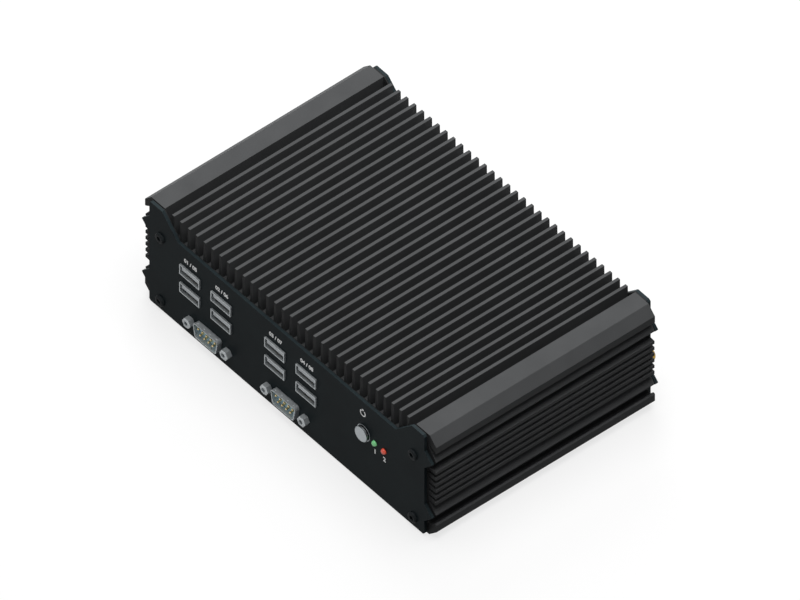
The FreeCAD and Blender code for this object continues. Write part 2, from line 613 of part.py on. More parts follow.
def d_shell(label):
    """Flange and rounded D tube of a panel port, hollow right through."""
    outer = new_body(label + "Outer")
    add(outer, "Tube", "Y", "0 - serialProud", "shellBack", d_outline("0", "0", "0"))
    dress(outer, "Fillet", "TubeCorners", "shellRound", lambda edge: runs_along(edge, "Y"))
    add(outer, "Flange", "Y", "shellSeat", "shellBack",
        around("0", "0", "shellFlangeWidth", "shellFlangeHeight"))
    cut(outer, "FlangeHoles", "Y", "shellSeat", "shellBack",
        *[ring(f"0 {sign} jackPitch / 2", "0", "jackShank + threadPlay") for sign in "-+"])
    inner = new_body(label + "Inner")
    add(inner, "Bore", "Y", "0 - 2 * serialProud", "shellBack + shellFlange",
        d_outline("0", "0", "0 - shellWall"))
    dress(inner, "Fillet", "BoreCorners", "shellRound - shellWall", lambda edge: runs_along(edge, "Y"))
    shell = doc.addObject("Part::Cut", label)
    shell.Base, shell.Tool = outer, inner
    return shell


def pin_spots(rows):
    """Pin middles as (across, up); the first row is the upper one."""
    spots = []
    for row, count in enumerate(rows):
        up = f"pinRow * {(len(rows) - 1) - 2 * row}"
        spots += [(f"pinPitch * {index - (count - 1) / 2}", up) for index in range(count)]
    return spots


def insulator(label, face, back, rows, through):
    """The moulded block inside a D shell, from its front face to the board behind it."""
    body = new_body(label)
    add(body, "Nose", "Y", face, "shellBack", d_outline("0", "0", "0 - shellWall - insulatorPlay"))
    dress(body, "Fillet", "NoseCorners", "shellRound - shellWall - insulatorPlay",
          lambda edge: runs_along(edge, "Y"))
    add(body, "Block", "Y", "shellBack", back, around("0", "0", "insulatorWidth", "insulatorHeight"))
    end = back if through else f"{face} + socketDepth"
    cut(body, "PinHoles", "Y", face, end,
        *[ring(across, up, "pinRadius + pinPlay") for across, up in pin_spots(rows)])
    return body


def jackscrew():
    body = new_body("Jackscrew")
    add(body, "Hexagon", "Y", "0 - jackProud", "0", hexagon("0", "0", "jackFlats"))
    front = number("0 - jackProud")
    dress(body, "Chamfer", "HexEnd", "jackChamfer",
          lambda edge: all(abs(vertex.Y - front) < 1e-6 for vertex in edge.Vertexes))
    add(body, "Shank", "Y", "0", "jackShankLength", ring("0", "0", "jackShank"))
    cut(body, "Bore", "Y", "0 - jackProud", "jackBoreDepth - jackProud", ring("0", "0", "jackBore"))
    return body


def front_ports():
    for index, across in enumerate(usbPlaces, 1):
        front_port(f"usb_socket_{index}", usb_socket(f"usb_socket_{index}"), across)
    back = "shellBack + serialBoardGap"
    pin = new_body("SerialPin")
    tip, tail = "pinShort - serialProud", f"{back} + boardThickness + pinTail"
    turn(pin, "Turned", ("0", tip), ("pinRadius - pinPoint", tip), ("pinRadius", f"{tip} + pinPoint"),
         ("pinRadius", tail), ("0", tail))
    for index, across in enumerate(serialPlaces, 1):
        front_port(f"serial_shell_{index}", d_shell(f"serial_shell_{index}"), across, "serialHeight")
        block = insulator(f"serial_insulator_{index}", "shellRecess - serialProud", back, (5, 4), True)
        front_port(f"serial_insulator_{index}", block, across, "serialHeight")
    group("serial_pins", pin, [(f"{across} + {x}", "frontFace", f"serialHeight + {z}")
                               for across in serialPlaces for x, z in pin_spots((5, 4))])
    board = new_body("serial_board")
    ends = ("serialA - serialBoardEnd", "serialB + serialBoardEnd")
    span = (f"frontFace + {back}", f"frontFace + {back} + boardThickness")
    add(board, "Sheet", "Y", *span, rect(*ends, "serialBoardFoot", "serialBoardTop"))
    cut(board, "PinHoles", "Y", *span,
        *[ring(f"{across} + {x}", f"serialHeight + {z}", "pinRadius + pinPlay")
          for across in serialPlaces for x, z in pin_spots((5, 4))])
    keep("serial_board", board)
    middle = "(serialA + serialB) / 2"
    keep("serial_header", box("serial_header", f"{middle} - headerWidth / 2", f"{middle} + headerWidth / 2",
                              span[1], f"{span[1]} + headerThick", "boardBottom - headerDrop", "boardBottom"))


def jackscrews():
    group("jackscrews", jackscrew(),
          [(f"{across} {sign} jackPitch / 2", "frontFace", "serialHeight")
           for across in serialPlaces for sign in "-+"],
          rear_spots=[(f"displayAcross {sign} jackPitch / 2", "rearFace", "displayHeight") for sign in "-+"])


def usb_tongues():
    levels = ("usbLow", "usbTop")
    group("usb_tongues", usb_tongue(), [(across, "frontFace", up) for across in usbPlaces for up in levels],
          rear_spots=[("rearUsb", "rearFace", up) for up in levels])


def power_switch():
    cap = new_body("button_cap")
    turn(cap, "Turned", ("0", "0 - capThickness"), ("capRadius", "0 - capThickness"), ("capRadius", "0"),
         ("stemRadius", "0"), ("stemRadius", "stemLength"), ("0", "stemLength"))
    face = number("0 - capThickness") + 1e-6
    dress(cap, "Chamfer", "CapRim", "capChamfer",
          lambda edge: is_circle(edge) and edge.Vertexes[0].Y < face)
    keep("button_cap", place(cap, "buttonAcross", "capBack", "buttonHeight"))
    guide = new_body("button_guide")
    bore = "stemRadius + guidePlay"
    turn(guide, "Turned", (bore, "0 - plateThickness"), ("guideRadius", "0 - plateThickness"),
         ("guideRadius", "0"), ("guideFlange", "0"), ("guideFlange", "guideFlangeThick"),
         ("guideRadius", "guideFlangeThick"), ("guideRadius", "guideLength - plateThickness"),
         (bore, "guideLength - plateThickness"))
    keep("button_guide", place(guide, "buttonAcross", "frontInner + guideSeat", "buttonHeight"))
    clip = new_body("button_clip")
    span = ("guideEnd + clipGap", "guideEnd + clipGap + clipThickness")
    add(clip, "Ring", "Y", *span, ring("0", "0", "clipRadius"))
    cut(clip, "Bore", "Y", *span, ring("0", "0", "stemRadius"))
    keep("button_clip", place(clip, "buttonAcross", "0", "buttonHeight"))
    plunger = new_body("switch_plunger")
    add(plunger, "Rod", "Y", "stemEnd", "stemEnd + plungerLength", ring("0", "0", "plungerRadius"))
    keep("switch_plunger", place(plunger, "buttonAcross", "0", "buttonHeight"))
    body = new_body("switch_body")
    front = "stemEnd + plungerLength / 2"
    add(body, "Block", "Y", front, f"{front} + switchDepth",
        rect("buttonAcross - switchWidth / 2", "buttonAcross + switchWidth / 2",
             "boardTop", "buttonHeight + switchRise"))
    cut(body, "PlungerBore", "Y", front, "stemEnd + plungerLength + plungerSlack",
        ring("buttonAcross", "buttonHeight", "plungerRadius + guidePlay"))
    keep("switch_body", body)


def status_lights():
    seat = "plateThickness + lightSeat"
    for index, colour in enumerate(("green", "red")):
        lamp = new_body("status_light_" + colour)
        turn(lamp, "Turned", ("0", "0 - lightProud"), ("lightRadius", "0 - lightProud"),
             ("lightRadius", seat), ("lightRim", seat), ("lightRim", f"{seat} + lightRimThick"),
             ("0", f"{seat} + lightRimThick"))
        front = number("0 - lightProud") + 1e-6
        dress(lamp, "Fillet", "Dome", "lightDome",
              lambda edge: is_circle(edge) and edge.Vertexes[0].Y < front)
        spot = (f"lightAcross + {index} * lightPitch", "frontFace", "lightHeight")
        keep("status_light_" + colour, place(lamp, *spot))
    back = f"frontFace + {seat} + lightRimThick"
    keep("light_holder", box("light_holder", "lightAcross - holderMargin",
                             "lightAcross + lightPitch + holderMargin", back, f"{back} + holderDepth",
                             "boardTop", "lightHeight + holderMargin"))


def rear_ports():
    rear_port("rear_usb_socket", usb_socket("rear_usb_socket"), "rearUsb")
    rear_port("display_shell", d_shell("display_shell"), "displayAcross", "displayHeight")
    block = insulator("display_insulator", "displayRecess - serialProud", "displayDepth", (5, 5, 5), False)
    rear_port("display_insulator", block, "displayAcross", "displayHeight")
    low = "boardTop + networkMouthRise"
    top = f"{low} + networkMouthHeight"
    depth = "networkMouthDepth - networkProud"
    for index, across in enumerate(networkPlaces, 1):
        jack = new_body(f"network_jack_{index}")
        add(jack, "Can", "Y", "0 - networkProud", "networkDepth - networkProud",
            rect("0 - networkWidth / 2", "networkWidth / 2", "boardTop", "boardTop + networkHeight"))
        cut(jack, "Mouth", "Y", "0 - networkProud", depth,
            rect("0 - networkMouthWidth / 2", "networkMouthWidth / 2", low, top))
        cut(jack, "LatchNotch", "Y", "0 - networkProud", depth,
            rect("0 - latchWidth / 2", "latchWidth / 2", top, f"{top} + latchHeight"))
        rear_port(f"network_jack_{index}", jack, across)
    insert = new_body("NetworkInsert")
    add(insert, "Comb", "Y", f"{depth} - networkComb", depth,
        rect("0 - networkMouthWidth / 2 + insulatorPlay", "networkMouthWidth / 2 - insulatorPlay", low, top))
    group("network_inserts", insert, [(across, "rearFace", "0") for across in networkPlaces], turned=halfTurn)
    video_port()
    power_inlet()
    antennas()


def taper_outline(low, width, height, taper):
    """A slot with its two lower corners cut off."""
    half, top, corner = f"({width}) / 2", f"{low} + {height}", f"{low} + {taper}"
    return loop((f"0 - {half} + {taper}", low), (f"{half} - {taper}", low), (half, corner),
                (half, top), (f"0 - {half}", top), (f"0 - {half}", corner))


def video_port():
    shell = new_body("video_port")
    low = "boardTop + videoRise"
    add(shell, "Can", "Y", "0 - videoProud", "videoDepth - videoProud",
        taper_outline(low, "videoWidth", "videoHeight", "videoTaper"))
    add(shell, "Feet", "Y", "shellSeat", "videoDepth - videoProud",
        rect("0 - videoWidth / 2 + videoTaper", "videoWidth / 2 - videoTaper",
             "boardTop", f"{low} + videoWall"))
    back = "videoDepth - videoProud - 2 * videoWall"
    cut(shell, "Mouth", "Y", "0 - videoProud", back,
        taper_outline(f"{low} + videoWall", "videoWidth - 2 * videoWall", "(videoHeight - 2 * videoWall)",
                      "(videoTaper - videoWall / 2)"))
    rear_port("video_port", shell, "videoAcross")
    tongue = new_body("video_tongue")
    add(tongue, "Blade", "Y", f"{back} - videoTongueLength", back,
        around("0", f"{low} + videoTongueRise", "videoTongueWidth", "videoTongue"))
    rear_port("video_tongue", tongue, "videoAcross")


def power_inlet():
    shroud = new_body("power_inlet")
    root, middle = "powerDepth - powerProud - powerFloor", "boardTop + powerHeight / 2"
    add(shroud, "Block", "Y", "0 - powerProud", "powerDepth - powerProud",
        around("0", middle, "powerWidth", "powerHeight"))
    cut(shroud, "Mouth", "Y", "0 - powerProud", root,
        around("0", middle, "powerWidth - 2 * powerWall", "powerHeight - 2 * powerWall"))
    rear_port("power_inlet", shroud, "powerAcross")
    pin = new_body("PowerPin")
    tip = f"{root} - powerPinLength"
    turn(pin, "Turned", ("0", tip), ("powerPinRadius / 2", tip),
         ("powerPinRadius", f"{tip} + powerPinRadius"), ("powerPinRadius", root), ("0", root))
    group("power_pins", pin, [(f"powerAcross + {step} * powerPinPitch", "rearFace", middle)
                              for step in (-1, 0, 1)], turned=halfTurn)


def antennas():
    jack = new_body("AntennaJack")
    front, floor = "0 - antennaLength", "antennaBoreDepth - antennaLength"
    flange = "shellSeat + antennaFlangeThick"
    turn(jack, "Turned", ("antennaBore", front), ("antennaRadius - edgeRound", front),
         ("antennaRadius", f"{front} + edgeRound"), ("antennaRadius", "shellSeat"),
         ("antennaFlange", "shellSeat"), ("antennaFlange", flange), ("antennaRadius", flange),
         ("antennaRadius", f"{flange} + antennaTail"), ("0", f"{flange} + antennaTail"), ("0", floor),
         ("antennaBore", floor))
    nut = new_body("AntennaNut")
    add(nut, "Hexagon", "Y", "0 - antennaNutThick", "0", hexagon("0", "0", "antennaNutFlats"))
    cut(nut, "Thread", "Y", "0 - antennaNutThick", "0", ring("0", "0", "antennaRadius + threadPlay"))
    contact = new_body("AntennaContact")
    collar = "antennaBore - threadPlay"
    turn(contact, "Turned", ("0", f"{floor} - contactLength"), ("contactRadius", f"{floor} - contactLength"),
         ("contactRadius", f"{floor} - contactCollar"), (collar, f"{floor} - contactCollar"),
         (collar, floor), ("0", floor))
    spots = [(side + "antennaAcross", "rearFace", "antennaHeight") for side in both]
    for label, item in (("antenna_jacks", jack), ("antenna_nuts", nut), ("antenna_contacts", contact)):
        group(label, item, spots, turned=halfTurn)


# boards, cooling, memory and storage

def mainboard():
    body = new_body("mainboard")
    span = ("boardBottom", "boardTop")
    corner = [("boardHalfWidth - boardCorner", "boardHalfLength"),
              ("boardHalfWidth", "boardHalfLength - boardCorner")]
    right = [(x, f"0 - ({y})") for x, y in corner] + [(x, y) for x, y in reversed(corner)]
    left = [(f"0 - ({x})", y) for x, y in reversed(right)]
    add(body, "Sheet", "Z", *span, loop(*right, *left))
    cut(body, "ScrewHoles", "Z", *span,
        *[ring(across, along, "threadRadius + holePlay") for across, along, _ in standoff_spots()])
    cut(body, "SpreaderHoles", "Z", *span,
        *[ring(across, along, "threadRadius + holePlay") for across, along in spreader_feet()])
    return keep("mainboard", body)


def spreader_feet():
    reach = "(spreaderSize / 2 - spreaderFootInset)"
    return [(f"cpuAcross {sx} {reach}", f"cpuAlong {sy} {reach}") for sx in "-+" for sy in "-+"]


def cooling():
    chip = new_body("processor")
    add(chip, "Carrier", "Z", "boardTop", "boardTop + cpuBaseThick",
        around("cpuAcross", "cpuAlong", "cpuBase", "cpuBase"))
    add(chip, "Lid", "Z", "boardTop + cpuBaseThick", "cpuTop",
        around("cpuAcross", "cpuAlong", "cpuLid", "cpuLid"))
    lid = number("cpuTop") - 1e-6
    dress(chip, "Fillet", "LidCorners", "cpuLidCorner",
          lambda edge: runs_along(edge, "Z") and edge.BoundBox.ZMax > lid)
    keep("processor", chip)
    half = "cpuLid / 2"
    keep("processor_pad", box("processor_pad", f"cpuAcross - {half}", f"cpuAcross + {half}",
                              f"cpuAlong - {half}", f"cpuAlong + {half}", "cpuTop", "spreaderBottom"))
    size = "spreaderSize / 2"
    keep("roof_pad", box("roof_pad", f"cpuAcross - {size}", f"cpuAcross + {size}",
                         f"cpuAlong - {size}", f"cpuAlong + {size}", "spreaderTop", "ceiling"))
    block = new_body("heat_spreader")
    add(block, "Block", "Z", "spreaderBottom", "spreaderTop",
        around("cpuAcross", "cpuAlong", "spreaderSize", "spreaderSize"))
    add(block, "Feet", "Z", "boardTop", "spreaderBottom + padThickness",
        *[ring(across, along, "spreaderFoot") for across, along in spreader_feet()])
    cut(block, "Relief", "X", f"cpuAcross - {size}", f"cpuAcross + {size}",
        *[around(f"cpuAlong {sign} {size}", "(spreaderBottom + spreaderTop) / 2", "2 * spreaderRelief",
                 "spreaderReliefDepth") for sign in "-+"])
    cut(block, "FootHoles", "Z", "boardTop", "boardTop + boardScrewLength",
        *[ring(across, along, "threadRadius + threadPlay") for across, along in spreader_feet()])
    keep("heat_spreader", block)
    fixing = screw("SpreaderScrew", "boardHeadRadius", "boardHeadHeight", "boardScrewLength")
    group("spreader_screws", fixing, [(across, along, "boardBottom") for across, along in spreader_feet()],
          turned=((1, 0, 0), 90))


def memory():
    socket = new_body("memory_socket")
    left, right = "memoryAcross - memoryWidth / 2", "memoryAcross + memoryWidth / 2"
    end = "(memoryLength / 2 + insulatorPlay)"
    outer = "(memoryLength / 2 + memoryArm)"
    inner = f"{right} + insulatorPlay - memorySocket"
    add(socket, "Frame", "Z", "boardTop", "cardTop + memoryArm / 2",
        loop((inner, f"memoryAlong - {outer}"), (f"{right} + memoryArm", f"memoryAlong - {outer}"),
             (f"{right} + memoryArm", f"memoryAlong + {outer}"), (left, f"memoryAlong + {outer}"),
             (left, f"memoryAlong + {end}"), (inner, f"memoryAlong + {end}")))
    cut(socket, "CardSlot", "Z", "cardLow", "cardTop",
        rect(f"{inner} - memoryArm", right, f"memoryAlong - {end}", f"memoryAlong + {end}"))
    keep("memory_socket", socket)
    card = new_body("memory_module")
    add(card, "Card", "Z", "cardLow", "cardTop",
        rect(left, right, "memoryAlong - memoryLength / 2", "memoryAlong + memoryLength / 2"))
    add(card, "Chips", "Z", "cardTop", "cardTop + memoryThick",
        *[around("memoryAcross - memorySocket / 2", f"memoryAlong + {step} * memoryChipPitch",
                 "memoryChipWidth", "memoryChipLength")
          for step in (-1.5, -0.5, 0.5, 1.5)])
    keep("memory_module", card)


def coin_cell():
    floor, rim = "boardTop + cellHolderFloor", "boardTop + cellHolderHeight"
    holder = new_body("cell_holder")
    add(holder, "Cup", "Z", "boardTop", rim, ring("cellAcross", "cellAlong", "cellRadius + cellHolderRim"))
    cut(holder, "Recess", "Z", floor, rim, ring("cellAcross", "cellAlong", "cellRadius + insulatorPlay"))
    keep("cell_holder", holder)
    cell = new_body("coin_cell")
    add(cell, "Disc", "Z", floor, f"{floor} + cellThick", ring("cellAcross", "cellAlong", "cellRadius"))
    top = number(f"{floor} + cellThick")
    dress(cell, "Fillet", "TopRim", "edgeRound", lambda edge: edge.Vertexes[0].Z > top - 1e-6)
    keep("coin_cell", cell)


def storage():
    """A 2.5 inch drive on a folded tray; the tray's two feet stand on the base cover."""
    left, right = "0 - driveLength / 2", "driveLength / 2"
    front, back = "driveAlong - driveWidth / 2", "driveAlong + driveWidth / 2"
    low = "driveFloor + bracketSheet"
    drive = new_body("drive")
    add(drive, "Block", "Z", low, f"{low} + driveThick", rect(left, right, front, back))
    dress(drive, "Fillet", "BlockCorners", "driveRound", lambda edge: runs_along(edge, "Z"))
    spots = [(f"{side}driveScrewPitch / 2", f"driveAlong {sign} (driveWidth / 2 - driveScrewInset)")
             for side in both for sign in "-+"]
    cut(drive, "ScrewHoles", "Z", low, f"{low} + driveScrewDepth",
        *[ring(across, along, "threadRadius + threadPlay") for across, along in spots])
    keep("drive", drive)
    bracket = new_body("drive_bracket")
    wall = "driveLength / 2 + bracketSheet"
    foot = "driveLength / 2 + bracketFoot"
    add(bracket, "Tray", "Z", "driveFloor", low, rect(left, right, front, back))
    add(bracket, "Walls", "Z", "floorThickness", low,
        rect(f"0 - ({wall})", left, front, back), rect(right, wall, front, back))
    add(bracket, "Feet", "Z", "floorThickness", "floorThickness + bracketSheet",
        rect(f"0 - ({foot})", f"0 - ({wall})", front, back), rect(wall, foot, front, back))
    cut(bracket, "ScrewHoles", "Z", "driveFloor", low,
        *[ring(across, along, "threadRadius + holePlay") for across, along in spots])
    keep("drive_bracket", bracket)
    fixing = screw("DriveScrew", "driveHeadRadius", "driveHeadHeight",
                   "bracketSheet + driveScrewDepth - threadPlay")
    group("drive_screws", fixing, [(across, along, "driveFloor") for across, along in spots],
          turned=((1, 0, 0), 90))


def board_components():
    chip = new_body("Chip")
    add(chip, "Package", "Z", "0", "chipThick", around("0", "0", "chipSize", "chipSize"))
    group("chip_packages", chip, [("chipAcross", f"chipAlong + {step} * chipPitch", "boardTop")
                                  for step in (-1.5, -0.5, 0.5, 1.5)])
    coil = new_body("Coil")
    add(coil, "Block", "Z", "0", "coilHeight", around("0", "0", "coilSize", "coilSize"))
    dress(coil, "Chamfer", "CoilCorners", "coilCorner", lambda edge: runs_along(edge, "Z"))
    group("power_coils", coil, [(f"coilAcross + {step} * coilPitch", "coilAlong", "boardTop")
                                for step in range(3)])
    can = new_body("Can")
    add(can, "Base", "Z", "0", "canBase", around("0", "0", "2 * canRadius", "2 * canRadius"))
    add(can, "Can", "Z", "canBase", "canHeight", ring("0", "0", "canRadius"))
    group("capacitors", can, [(f"canAcross + {step} * canPitch", "canAlong", "boardTop")
                              for step in range(4)])


# build, check and write

fill_sheet()
housing()
base_cover()
front_panel()
rear_panel()
gasket("front_gasket", "frontInner", "0 - halfLength", "gasketInset")
gasket("rear_gasket", "halfLength", "rearInner", "rearGasketInset",
       *[ring(side + "antennaAcross", "antennaHeight", "antennaFlange + holePlay") for side in both])
fasteners()
front_ports()
jackscrews()
usb_tongues()
power_switch()
status_lights()
rear_ports()
mainboard()
cooling()
memory()
coin_cell()
storage()
board_components()
doc.recompute()

for item in doc.Objects:
    if "Invalid" in item.State or "Error" in item.State:
        raise RuntimeError(f"{item.Label} failed: {item.State}")
for label, item in parts.items():
    if item.Shape.isNull() or not item.Shape.isValid() or not item.Shape.Solids:
        raise RuntimeError(f"{label} has no valid solid")

os.makedirs("parts", exist_ok=True)
for label, item in parts.items():
    item.Shape.exportStep(f"parts/{label}.step")
print(f"{len(parts)} parts written")
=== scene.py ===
import math

import bpy
from mathutils import Matrix, Vector


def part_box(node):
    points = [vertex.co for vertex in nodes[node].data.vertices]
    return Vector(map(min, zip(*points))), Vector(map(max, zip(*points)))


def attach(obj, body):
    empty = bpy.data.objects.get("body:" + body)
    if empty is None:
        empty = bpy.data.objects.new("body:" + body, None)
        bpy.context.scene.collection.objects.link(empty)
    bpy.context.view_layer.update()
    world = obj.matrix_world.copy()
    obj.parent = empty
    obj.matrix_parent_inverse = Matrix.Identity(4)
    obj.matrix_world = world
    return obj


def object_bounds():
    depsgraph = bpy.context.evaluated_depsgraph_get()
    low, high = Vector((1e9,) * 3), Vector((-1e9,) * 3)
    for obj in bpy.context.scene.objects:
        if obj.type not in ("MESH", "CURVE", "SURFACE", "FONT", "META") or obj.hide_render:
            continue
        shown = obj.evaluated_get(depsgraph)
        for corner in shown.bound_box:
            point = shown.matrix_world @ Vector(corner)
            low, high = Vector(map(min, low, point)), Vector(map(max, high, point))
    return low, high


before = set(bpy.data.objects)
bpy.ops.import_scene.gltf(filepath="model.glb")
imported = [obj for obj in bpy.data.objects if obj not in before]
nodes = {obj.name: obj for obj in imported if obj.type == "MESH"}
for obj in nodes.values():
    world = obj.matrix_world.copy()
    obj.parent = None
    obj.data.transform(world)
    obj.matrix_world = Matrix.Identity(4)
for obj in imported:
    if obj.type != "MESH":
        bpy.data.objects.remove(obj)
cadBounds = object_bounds()
millimetre = 0.001
near = 0.01 * millimetre  # places closer than this count as the same


# colours and material nodes

def linearColour(hexText):
    # an sRGB hex value as the linear RGBA that shaders use
    def channel(value):
        return value / 12.92 if value <= 0.04045 else ((value + 0.055) / 1.055) ** 2.4
    parts = [int(hexText[i:i + 2], 16) / 255 for i in (1, 3, 5)]
    return (*(channel(part) for part in parts), 1.0)


def addNode(material, kind, inputs=None, stops=(), **settings):
    # a node with its settings, a ramp's colour stops, and the values, sockets or nodes that feed its inputs
    node = material.node_tree.nodes.new(kind)
    for name, value in settings.items():
        setattr(node, name, value)
    for element, (position, colour) in zip(node.color_ramp.elements if stops else (), stops):
        element.position, element.color = position, linearColour(colour)
    for name, value in (inputs or {}).items():
        # a Mix node has sockets of one name for each data type, of which only one is enabled
        socket = node.inputs[name] if isinstance(name, int) else next(
            item for item in node.inputs if item.name == name and item.enabled)
        if isinstance(value, bpy.types.Node):
            value = next(item for item in value.outputs if item.enabled)
        if isinstance(value, bpy.types.NodeSocket):
            material.node_tree.links.new(value, socket)
        else:
            socket.default_value = value
    return node


def startMaterial(name):
    material = bpy.data.materials.new(name)
    material.use_nodes = True
    material.node_tree.nodes.clear()
    return material


def finishMaterial(material, **shader):
    # the shader's own sockets, with spaces in their names written as underscores
    principled = addNode(material, "ShaderNodeBsdfPrincipled",
                         {name.replace("_", " "): value for name, value in shader.items()})
    addNode(material, "ShaderNodeOutputMaterial", {"Surface": principled.outputs["BSDF"]})
    return material


# finishes, with noise scales given as one over a real size

def anodisedExtrusion():
    # black anodised extrusion: dyed oxide with fine die lines along its length. Its gloss is set far below
    # that of a real oxide, because the white floor would otherwise wash out its upright faces
    material = startMaterial("blackAnodisedExtrusion")
    place = addNode(material, "ShaderNodeTexCoord").outputs["Object"]
    across = 1 / (0.5 * millimetre)
    drawn = addNode(material, "ShaderNodeMapping",
                    {"Vector": place, "Scale": (across, 0.008 * across, across)})
    dieLines = addNode(material, "ShaderNodeTexNoise", {"Vector": drawn, "Scale": 1.0, "Detail": 3.0})
    mottle = addNode(material, "ShaderNodeTexNoise",
                     {"Vector": place, "Scale": 1 / (14 * millimetre), "Detail": 3.0})
    grain = addNode(material, "ShaderNodeTexNoise",
                    {"Vector": place, "Scale": 1 / (0.35 * millimetre), "Detail": 1.0})
    colour = addNode(material, "ShaderNodeValToRGB",
                     {"Fac": mottle}, stops=[(0.3, "#4a4b4c"), (0.7, "#4f5051")])
    rough = addNode(material, "ShaderNodeMapRange", {"Value": dieLines, "To Min": 0.36, "To Max": 0.48})
    lines = addNode(material, "ShaderNodeBump",
                    {"Height": dieLines, "Distance": 0.02 * millimetre, "Strength": 0.3})
    blast = addNode(material, "ShaderNodeBump",
                    {"Height": grain, "Distance": 0.01 * millimetre, "Strength": 0.2, "Normal": lines})
    return finishMaterial(material, Base_Color=colour, Roughness=rough, Specular_IOR_Level=0.02, Normal=blast)


def anodisedSheet():
    # black anodised sheet, bead-blasted before dyeing: finer than the extrusion, darker and as low in gloss
    material = startMaterial("blackAnodisedSheet")
    place = addNode(material, "ShaderNodeTexCoord").outputs["Object"]
    peel = addNode(material, "ShaderNodeTexNoise",
                   {"Vector": place, "Scale": 1 / (1.6 * millimetre), "Detail": 2.0})
    cloud = addNode(material, "ShaderNodeTexNoise",
                    {"Vector": place, "Scale": 1 / (22 * millimetre), "Detail": 3.0})
    colour = addNode(material, "ShaderNodeValToRGB",
                     {"Fac": cloud}, stops=[(0.3, "#293134"), (0.7, "#30393c")])
    rough = addNode(material, "ShaderNodeMapRange", {"Value": cloud, "To Min": 0.3, "To Max": 0.38})
    relief = addNode(material, "ShaderNodeBump",
                     {"Height": peel, "Distance": 0.005 * millimetre, "Strength": 0.3})
    return finishMaterial(material, Base_Color=colour, Roughness=rough, Specular_IOR_Level=0.015,
                          Normal=relief)


def blackOxideSteel():
    # oil-black steel of the panel screws, close to the sheet they sit on
    material = startMaterial("blackOxideSteel")
    place = addNode(material, "ShaderNodeTexCoord").outputs["Object"]
    speckle = addNode(material, "ShaderNodeTexNoise",
                      {"Vector": place, "Scale": 1 / (0.5 * millimetre), "Detail": 3.0})
    colour = addNode(material, "ShaderNodeValToRGB",
                     {"Fac": speckle}, stops=[(0.3, "#2b2f31"), (0.7, "#34383a")])
    rough = addNode(material, "ShaderNodeMapRange", {"Value": speckle, "To Min": 0.34, "To Max": 0.46})
    return finishMaterial(material, Base_Color=colour, Roughness=rough, Specular_IOR_Level=0.03)


def zincPlatedSteel():
    # blue-white zinc on turned steel, with a little cloudiness
    material = startMaterial("zincPlatedSteel")
    place = addNode(material, "ShaderNodeTexCoord").outputs["Object"]
    cloud = addNode(material, "ShaderNodeTexNoise",
                    {"Vector": place, "Scale": 1 / (1.2 * millimetre), "Detail": 4.0})
    colour = addNode(material, "ShaderNodeValToRGB",
                     {"Fac": cloud}, stops=[(0.3, "#a3a8ac"), (0.7, "#c3c8ca")])
    rough = addNode(material, "ShaderNodeMapRange", {"Value": cloud, "To Min": 0.24, "To Max": 0.4})
    return finishMaterial(material, Base_Color=colour, Metallic=1.0, Roughness=rough)


def nickelPlatedShell():
    # stamped steel under satin nickel, with soft rolling marks across the sheet. It is only half metallic,
    # because a fuller metal rendered too dark here
    material = startMaterial("nickelPlatedShell")
    place = addNode(material, "ShaderNodeTexCoord").outputs["Object"]
    across = 1 / (0.3 * millimetre)
    rolled = addNode(material, "ShaderNodeMapping",
                     {"Vector": place, "Scale": (0.05 * across, across, across)})
    rolling = addNode(material, "ShaderNodeTexNoise", {"Vector": rolled, "Scale": 1.0, "Detail": 3.0})
    cloud = addNode(material, "ShaderNodeTexNoise",
                    {"Vector": place, "Scale": 1 / (3 * millimetre), "Detail": 2.0})
    colour = addNode(material, "ShaderNodeValToRGB",
                     {"Fac": cloud}, stops=[(0.3, "#b5babd"), (0.7, "#c0c5c7")])
    rough = addNode(material, "ShaderNodeMapRange", {"Value": rolling, "To Min": 0.3, "To Max": 0.44})
    relief = addNode(material, "ShaderNodeBump",
                     {"Height": rolling, "Distance": 0.01 * millimetre, "Strength": 0.3})
    return finishMaterial(material, Base_Color=colour, Metallic=0.5, Roughness=rough, Normal=relief)


def mouldedPlastic(name, dark, light, roughness=0.45, metallic=0.0):
    # moulded PBT or nylon: even colour, with the faint grain of a spark-eroded mould. The socket tongues and
    # blue insulators get a metallic share, which plastic doesn't have, to lift them in the front's weak light
    material = startMaterial(name)
    place = addNode(material, "ShaderNodeTexCoord").outputs["Object"]
    grain = addNode(material, "ShaderNodeTexNoise",
                    {"Vector": place, "Scale": 1 / (0.25 * millimetre), "Detail": 2.0})
    flow = addNode(material, "ShaderNodeTexNoise",
                   {"Vector": place, "Scale": 1 / (5 * millimetre), "Detail": 2.0})
    colour = addNode(material, "ShaderNodeValToRGB", {"Fac": flow}, stops=[(0.3, dark), (0.7, light)])
    rough = addNode(material, "ShaderNodeMapRange", {"Value": flow, "To Min": roughness - 0.05,
                                                     "To Max": roughness + 0.05})
    relief = addNode(material, "ShaderNodeBump",
                     {"Height": grain, "Distance": 0.015 * millimetre, "Strength": 0.3})
    return finishMaterial(material, Base_Color=colour, Metallic=metallic, Roughness=rough, Normal=relief)


def goldPlate(name, dark, light, metallic=1.0):
    # thin hard gold over nickel, in two tones: paler on the contacts, as painted light against the shade in
    # their sockets, deeper on the coaxial threads, as painted shade
    material = startMaterial(name)
    place = addNode(material, "ShaderNodeTexCoord").outputs["Object"]
    wear = addNode(material, "ShaderNodeTexNoise",
                   {"Vector": place, "Scale": 1 / (0.8 * millimetre), "Detail": 4.0})
    colour = addNode(material, "ShaderNodeValToRGB", {"Fac": wear}, stops=[(0.3, dark), (0.7, light)])
    rough = addNode(material, "ShaderNodeMapRange", {"Value": wear, "To Min": 0.18, "To Max": 0.34})
    return finishMaterial(material, Base_Color=colour, Metallic=metallic, Roughness=rough)


